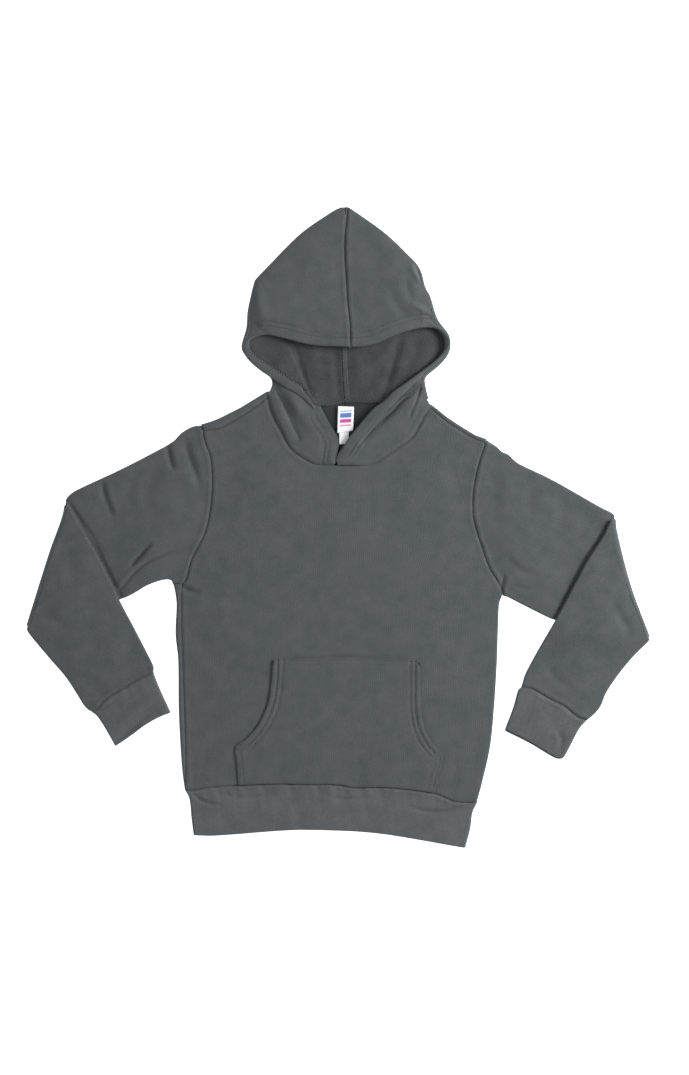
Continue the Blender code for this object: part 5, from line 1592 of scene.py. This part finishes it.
SLEEVE_LEFT = Sleeve(
    "sleeve_left", "fleece", (0.31, 0.3), 0.065, "folded", name="sleeve_left_cloth", side=1.0, armhole=ARMHOLE_LEFT,
    armpit=(166, -68.8), tip=(148.8, 88.9), seed=43,
    arm_a=((157.4, 82.4), (163.6, 76.4), (169.8, 73.8), (174.4, 69.2), (179.8, 64.8), (212.6, 49), (263.6, 20),
        (271.2, 16.4), (275.2, 13)),
    arm_b=((170.6, -69.9), (197.6, -83.5), (216.5, -92.1), (265, -103)),
    elbow=((277.1, 9.9), (278.5, -3.1), (292.3, -57.1), (311.5, -109.1)),
    fore_a=((265.6, -6.1), (249.1, -31.6), (235.6, -56.6), (217.6, -90.1), (187.4, -144.1)),
    fore_b=((310, -112.4), (306.4, -116.5), (295.5, -127.6), (280.2, -146.3), (267.4, -165.5), (262.3, -178.2),
        (255.5, -186.6)),
    cuff=((182.4, -159.4), (188, -159.9), (194.1, -161.4), (209.4, -170.4), (224.7, -178), (237.5, -188),
        (248, -192.6)),
    upper_creases=(
        Crease(((166.4, -46), (164.2, -54), (163, -64)), 1.8, -2.6, 0.6),
        Crease(((150, 62), (156, 34), (154, 4)), 7.0, -1.1),
        Crease(((184, 56), (190, 28), (188, 0)), 8.0, -1.1),
        Crease(((222, 36), (224, 16), (218, -6)), 7.0, -1.1),
        Crease(((168, -30), (182, -42), (200, -48)), 4.0, -1.2),
        Crease(((176, -58), (192, -62), (206, -60)), 3.0, -1.0),
        Crease(((275, 14), (263.8, -7.4), (247.4, -32.3), (234, -57.7), (212, -98)), 2.2, -3.4)),
    fore_creases=(
        Crease(((272, -72), (281, -89), (292, -108)), 5.0, -1.5, 0.5),
        Crease(((272, -14), (266, -42), (256, -66)), 8.0, -0.9),
        Crease(((240, -70), (238, -100), (244, -124)), 9.0, -0.9),
        Crease(((280, -140), (258, -146), (236, -142)), 6.0, -0.8),
        Crease(((204, -136), (218, -152), (232, -164)), 5.0, -0.8)))
CUFF_RIGHT = RibBand(
    "cuff_right", "rib", (0.15, 0.055), name="cuff_right_rib", seam=SLEEVE_RIGHT.cuff, step=1.6, seed=9, gathers=0.3,
    dip_top=1.6, puff=1.2,
    mouth=((-167.4, -184.5), (-180, -189.6), (-194.2, -197.9), (-206, -206.8), (-222.9, -218.3)),
    side_start=((-184.8, -143.6), (-182.1, -151.4), (-176.4, -164.8), (-167.4, -184.5)),
    side_end=((-247, -183.4), (-241.4, -187.7), (-232.5, -201.1), (-222.9, -218.3)),
    creases=(
        Crease(((-224, -220), (-206, -207), (-194, -198), (-180, -190)), 4.2, 1.5),
        Crease(((-226, -216), (-208, -200.5), (-199.3, -192.5), (-189.1, -184), (-170, -172)),
               4.4, -2.1, 1.2),
        Crease(((-245, -184.6), (-238, -181), (-229.5, -177.5)), 1.8, -1.6)))
CUFF_LEFT = RibBand(
    "cuff_left", "rib", (0.15, 0.055), name="cuff_left_rib", seam=SLEEVE_LEFT.cuff, step=1.6, seed=13, open_by=1.8,
    gathers=0.3, dip_top=1.4, puff=0.9,
    mouth=((165.8, -202.6), (191.6, -215.4), (214.5, -229), (221.5, -231.2)),
    side_start=((182.4, -159.4), (179.4, -162.4), (175, -178), (165.8, -202.6)),
    side_end=((248, -192.6), (241.3, -199.9), (229.8, -221.6), (225.4, -229), (221.5, -231.2)),
    creases=(
        Crease(((245, -191.6), (234, -196), (224, -199), (210, -204)), 2.4, -1.6, 0.5),
        Crease(((218, -201), (223, -212), (220, -224)), 3.0, -1.2)))
HOOD_LEFT = HoodLeft(
    "hood_left", "hood_fleece", (0.17, 0.27), 0.033, "folded", name="hood_left_half", side=1.0, seed=51,
    outline=((10.6, 320.3), (26.6, 309.4), (44.6, 296.3), (56.6, 285.9), (67.6, 274.9), (78.3, 263.9), (82.9, 255.9),
        (87.2, 239.9), (91.7, 231.9), (99.1, 208.9), (109.9, 193.9), (112, 185.9), (111.3, 176.9), (107.7, 169.9),
        (100.6, 161.9), (87.8, 150.9), (86.5, 145.9), (91, 124.6), (92, 119.2), (85.6, 111.9), (81.6, 103.9),
        (72.6, 89.9), (54.6, 76.9), (39.6, 66.9), (30.6, 63.3), (11.6, 62.7), (-4.4, 62.7), (-9, 62.7)),
    hem=((11.9, 180.3), (23.6, 180.7), (38.6, 184.2), (52.6, 190.4), (67.6, 195.9), (82.6, 199.3), (95.6, 199.1),
        (104.6, 193.9), (108.5, 186.9), (107.6, 179.9), (102.6, 173.4), (95.6, 166.4), (86.6, 159.4), (76.6, 151.9),
        (67.1, 144.9), (54.6, 135.9), (45.6, 126.9), (34.6, 118.9), (24.1, 106.9), (15.6, 96.9), (9.6, 88.9),
        (5.1, 81.9), (-0.4, 73.9), (-3.4, 65.9), (-3.9, 63.6)),
    rows=(((9.8, 319.9), (12.2, 180.9), (9.8, 319.9), 1.4, 13.0),
        ((27.6, 308.4), (26.6, 181.1), (9.3, 306), 1.6, 13.0),
        ((44.6, 296.3), (39.6, 184.6), (8.1, 283), 2.0, 12.8),
        ((63.6, 278.9), (52.6, 190.9), (7.5, 258), 2.4, 12.4),
        ((81.6, 258.9), (67.6, 195.9), (4, 230), 2.6, 12.0),
        ((89.1, 235.9), (81.6, 198.6), (3, 203), 2.8, 11.5),
        ((99.1, 208.9), (94.6, 198.9), (2.6, 180), 3.0, 10.5),
        ((110.4, 193.4), (104.6, 192.9), (3.2, 166), 3.0, 10.0),
        ((111.3, 176.9), (106.6, 182.9), (3.9, 153), 3.0, 9.8),
        ((100.6, 161.9), (95.6, 166.4), (4.8, 140), 3.0, 9.8),
        ((88.6, 151.4), (86.1, 159.4), (5.8, 125.5), 3.0, 10.0),
        ((86.1, 142.9), (76.6, 151.9), (36.6, 125.1), 2.8, 10.2),
        ((88.1, 132.9), (67.1, 144.9), (64.6, 124), 2.0, 10.4),
        ((92, 119.2), (55.6, 136.4), (80, 121), 1.4, 10.6), ((85.6, 111.9), (48.6, 130), None, 1.3, 10.4),
        ((81.6, 103.9), (40.6, 123.4), None, 1.3, 10.2), ((72.6, 89.9), (30.6, 114.4), None, 1.3, 9.8),
        ((54.6, 76.9), (20.6, 102.9), None, 1.3, 9.2), ((39.6, 66.9), (11.6, 90.9), None, 1.3, 8.6),
        ((30.6, 63.3), (5.6, 81.9), None, 1.3, 8.0), ((11.6, 62.7), (-0.4, 73.4), None, 1.3, 7.2),
        ((-1, 63.4), (-3.2, 66.9), None, 1.3, 6.4)),
    relief=(
        Crease(((89, 150.6), (79.6, 143.4), (72.6, 136.4), (63.6, 127.9), (53.6, 116.9), (43.1, 106.9),
                (33.6, 97.9), (22, 83)), 3.2, -4.6, 1.2, -1.0),
        Crease(((87, 148.4), (83.6, 137.9), (79, 128.9), (75.4, 119.9), (73.9, 108)), 2.6, 1.9),
        Crease(((84.4, 145.9), (80.4, 133.9), (77, 125), (71, 110)), 2.0, -2.8),
        Crease(((52, 236), (58, 222), (70, 211), (84, 206)), 5.0, -1.6),
        Crease(((75.4, 264), (79.4, 255), (84.6, 245)), 1.8, -3.2, 1.2, -1.0),
        Crease(((72, 224), (84, 217), (94, 212.6), (106, 208)), 3.0, 2.6),
        Crease(((70.6, 256), (68, 242), (76, 226), (90, 222)), 4.4, -1.6),
        Crease(((30, 290), (38, 260), (36, 232)), 9.0, -0.7)),
    floor_relief=(
        Crease(((62.8, 196), (58.1, 175.2), (54.4, 164.1), (50.6, 151.2), (47.1, 138.2), (43.4, 127)),
               3.8, -2.2, 0.8),
        Crease(((30, 176), (33, 158), (31, 140)), 6.0, -0.5),
        Crease(((82, 190), (76, 172), (68, 158)), 5.0, -0.7)))
HOOD_RIGHT = HoodRight(
    "hood_right", "hood_fleece", (0.17, 0.27), 0.034, "folded", name="hood_right_half", side=-1.0, seed=57,
    fold_rows=20.0, top_rows=7.9, more_floor=12.0,
    outline=((7.8, 320.1), (1.6, 320.1), (-14.4, 310.7), (-35.5, 295.9), (-50.4, 282), (-68.4, 263.4),
        (-81.6, 249.6), (-83.9, 246.4), (-88.4, 227.9), (-90.8, 215.9), (-92, 199.9), (-95.8, 186.9),
        (-96.8, 181.9), (-96.1, 176.9), (-92.4, 170.9), (-89.4, 167.2), (-81.4, 159.7), (-69, 150.9),
        (-66.4, 144.6), (-68.6, 137), (-71, 133)),
    hem=((11.9, 180.3), (-5.4, 180.9), (-20.4, 181.5), (-35.4, 183.9), (-49.4, 187.7), (-62.4, 190.7),
        (-72.9, 192.3), (-81.4, 190.9), (-87.4, 187.9), (-91.2, 184.4), (-91.8, 181)),
    rows=(((7.8, 319.9), (11.6, 180.6), (8.6, 319.9), 1.4, 13.0),
        ((-14.4, 310.7), (-5.4, 180.9), (8.6, 306), 1.6, 13.0),
        ((-35.5, 295.9), (-20.4, 182.2), (7.6, 283), 2.0, 12.8),
        ((-60.4, 272.9), (-35.4, 184.9), (7.1, 258), 2.4, 12.4),
        ((-83.1, 247.9), (-49.4, 188.9), (3.6, 230), 2.6, 12.0),
        ((-90, 219.9), (-64.4, 191.5), (2.6, 203), 2.8, 11.5),
        ((-93.9, 195.9), (-79.4, 191.9), (2.2, 180), 2.8, 10.4),
        ((-96.6, 181.9), (-89.4, 186.2), (2.8, 166), 2.4, 9.2),
        ((-93.6, 172.6), (-91.8, 181), (3.5, 153), 1.4, 5.2),
        ((-81.4, 159.7), (-91.4, 184.6), (4.4, 140), 1.2, 9.0),
        ((-70.4, 151.4), (-91.4, 184.6), (5.4, 125), 1.2, 9.0),
        ((-66.6, 144), (-91.4, 184.6), (-13.4, 121.8), 1.2, 9.0),
        ((-68.6, 137.4), (-91.4, 184.6), (-44.4, 123), 1.2, 9.0)),
    relief=(
        Crease(((-78, 251), (-66, 246), (-52, 244)), 5.0, -0.8),
        Crease(((-40, 284), (-46, 256), (-40, 228)), 9.0, -0.8),
        Crease(((-88, 214), (-76, 208), (-62, 208)), 4.0, -0.7),
        Crease(((-86, 244), (-80, 224), (-73, 200)), 7.0, 3.2)),
    floor_relief=(
        Crease(((-14, 190), (-12, 166), (-10, 142)), 6.0, -0.8),
        Crease(((-4, 200), (-3.2, 180), (-1.6, 161), (0, 138.4), (1, 122)), 3.4, -1.4),
        Crease(((-52, 202), (-44.6, 184), (-39.6, 168), (-34.4, 152), (-29.6, 139), (-24, 127)),
               2.2, -2.0)),
    collar_relief=(
        Crease(((-66, 145), (-61.5, 134), (-57.5, 125.7), (-53.5, 116.5), (-49.5, 108), (-44.5, 98),
                (-38, 86)), 2.8, -3.4, 0.6),
        Crease(((-59, 144), (-55, 132), (-51, 122), (-47, 112), (-43, 103), (-36, 88)),
               6.0, -2.6),
        Crease(((-40, 118), (-36, 104), (-30, 90)), 4.0, -0.6),
        Crease(((-16, 92), (-14, 80), (-16, 70)), 3.0, -0.4)))
LABEL = Label(
    "neck_label", "label", (0.016, 0.0255), name="neck_label_ribbon", height=3.9, rests_on=("size_tab",),
    corners=((-1.2, 94.6), (14.6, 97.2), (-0.4, 121.6), (15.6, 121)))
TAB = Label(
    "size_tab", "label", (0.01, 0.018), name="size_tab_ribbon", height=2.7, finish=Finishes.TAB,
    rests_on=("back_body",),
    corners=((0.8, 83.4), (10.4, 84.2), (0.8, 101.6), (10.4, 101.6)))
GARMENT = (FRONT, BACK, POCKET, HEM, SLEEVE_RIGHT, SLEEVE_LEFT, CUFF_RIGHT, CUFF_LEFT, HOOD_LEFT, HOOD_RIGHT, TAB,
           LABEL)


@dataclass
class Studio:
    """A plain pale floor, soft light from above on the right, and a camera that looks straight down."""

    frame_height: float = 1075.0                 # millimetres that the frame takes in
    centre: tuple[float, float] = (6.1, -9.6)    # millimetres
    distance: float = 3.2                        # metres
    sky: float = 0.42                            # light from all round

    def floor(self) -> None:
        """Lay the floor."""
        bpy.ops.object.select_all(action="DESELECT")
        bpy.ops.mesh.primitive_plane_add(size=12.0, location=(0.0, 0.0, -0.0004))
        plane = bpy.context.active_object
        plane.name = "studio_floor"
        paper = bpy.data.materials.new("paper_matt_white")
        paper.use_nodes = True
        plug(paper.node_tree, paper.node_tree.nodes["Principled BSDF"], base_color=(0.94, 0.94, 0.94, 1.0),
             roughness=1.0, specular_ior_level=0.0, emission_color=(1.0, 1.0, 1.0, 1.0), emission_strength=1.0)
        plane.data.materials.append(paper)

    def lamp(self, name: str, place: tuple[float, float, float], size: float, watts: float) -> None:
        """Hang one square soft light that faces the garment.

        Args:
            name: the light's name.
            place: where it hangs, in metres.
            size: length of its side.
            watts: its power.
        """
        bpy.ops.object.light_add(type="AREA", location=place)
        lamp = bpy.context.active_object
        lamp.name = name
        lamp.data.size = size
        lamp.data.energy = watts
        lamp.rotation_euler = Vector(place).to_track_quat("Z", "Y").to_euler()

    def camera(self) -> None:
        """Set up the camera over the garment."""
        place = (self.centre[0] * MM, self.centre[1] * MM, self.distance)
        bpy.ops.object.camera_add(location=place, rotation=(0.0, 0.0, 0.0))
        camera = bpy.context.active_object
        camera.name = "copy_stand_camera"
        camera.data.sensor_fit = "VERTICAL"
        camera.data.angle = 2 * math.atan(self.frame_height * MM / 2 / self.distance)
        camera.data.clip_end = 20.0
        bpy.context.scene.camera = camera

    def build(self) -> None:
        """Set up floor, light and camera."""
        self.floor()
        self.lamp("key_softbox", (1.62, 0.42, 1.1), size=0.9, watts=46.0)
        self.lamp("fill_softbox", (-1.6, -0.2, 2.0), size=2.0, watts=8.0)
        world = bpy.data.worlds.new("studio")
        world.use_nodes = True
        plug(world.node_tree, world.node_tree.nodes["Background"], color=(1.0, 1.0, 1.0, 1.0), strength=self.sky)
        bpy.context.scene.world = world
        bpy.context.scene.view_settings.view_transform = "Standard"
        self.camera()


def dress_cad_nodes() -> None:
    """Give the hidden nodes the finish of the cloth that stands for them."""
    finishes = {"rib": Finishes.RIB, "label": Finishes.TAB}
    for piece in GARMENT:
        thing = bpy.data.objects[piece.node]
        finish = finishes.get(piece.slot, Finishes.FACE).value.material()
        if not thing.material_slots:
            thing.data.materials.append(finish)
        for holder in thing.material_slots:
            holder.material = finish


def corners(box: tuple[Vector, Vector]) -> list[list[float]]:
    """A box as plain lists."""
    return [list(box[0]), list(box[1])]


def main() -> None:
    """Build the garment in order and report each piece."""
    logging.basicConfig(level=logging.INFO, format="%(message)s")
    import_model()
    dress_cad_nodes()
    for piece in GARMENT:
        piece.build()
    Studio().build()
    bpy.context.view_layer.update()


if __name__ == "__main__":
    main()
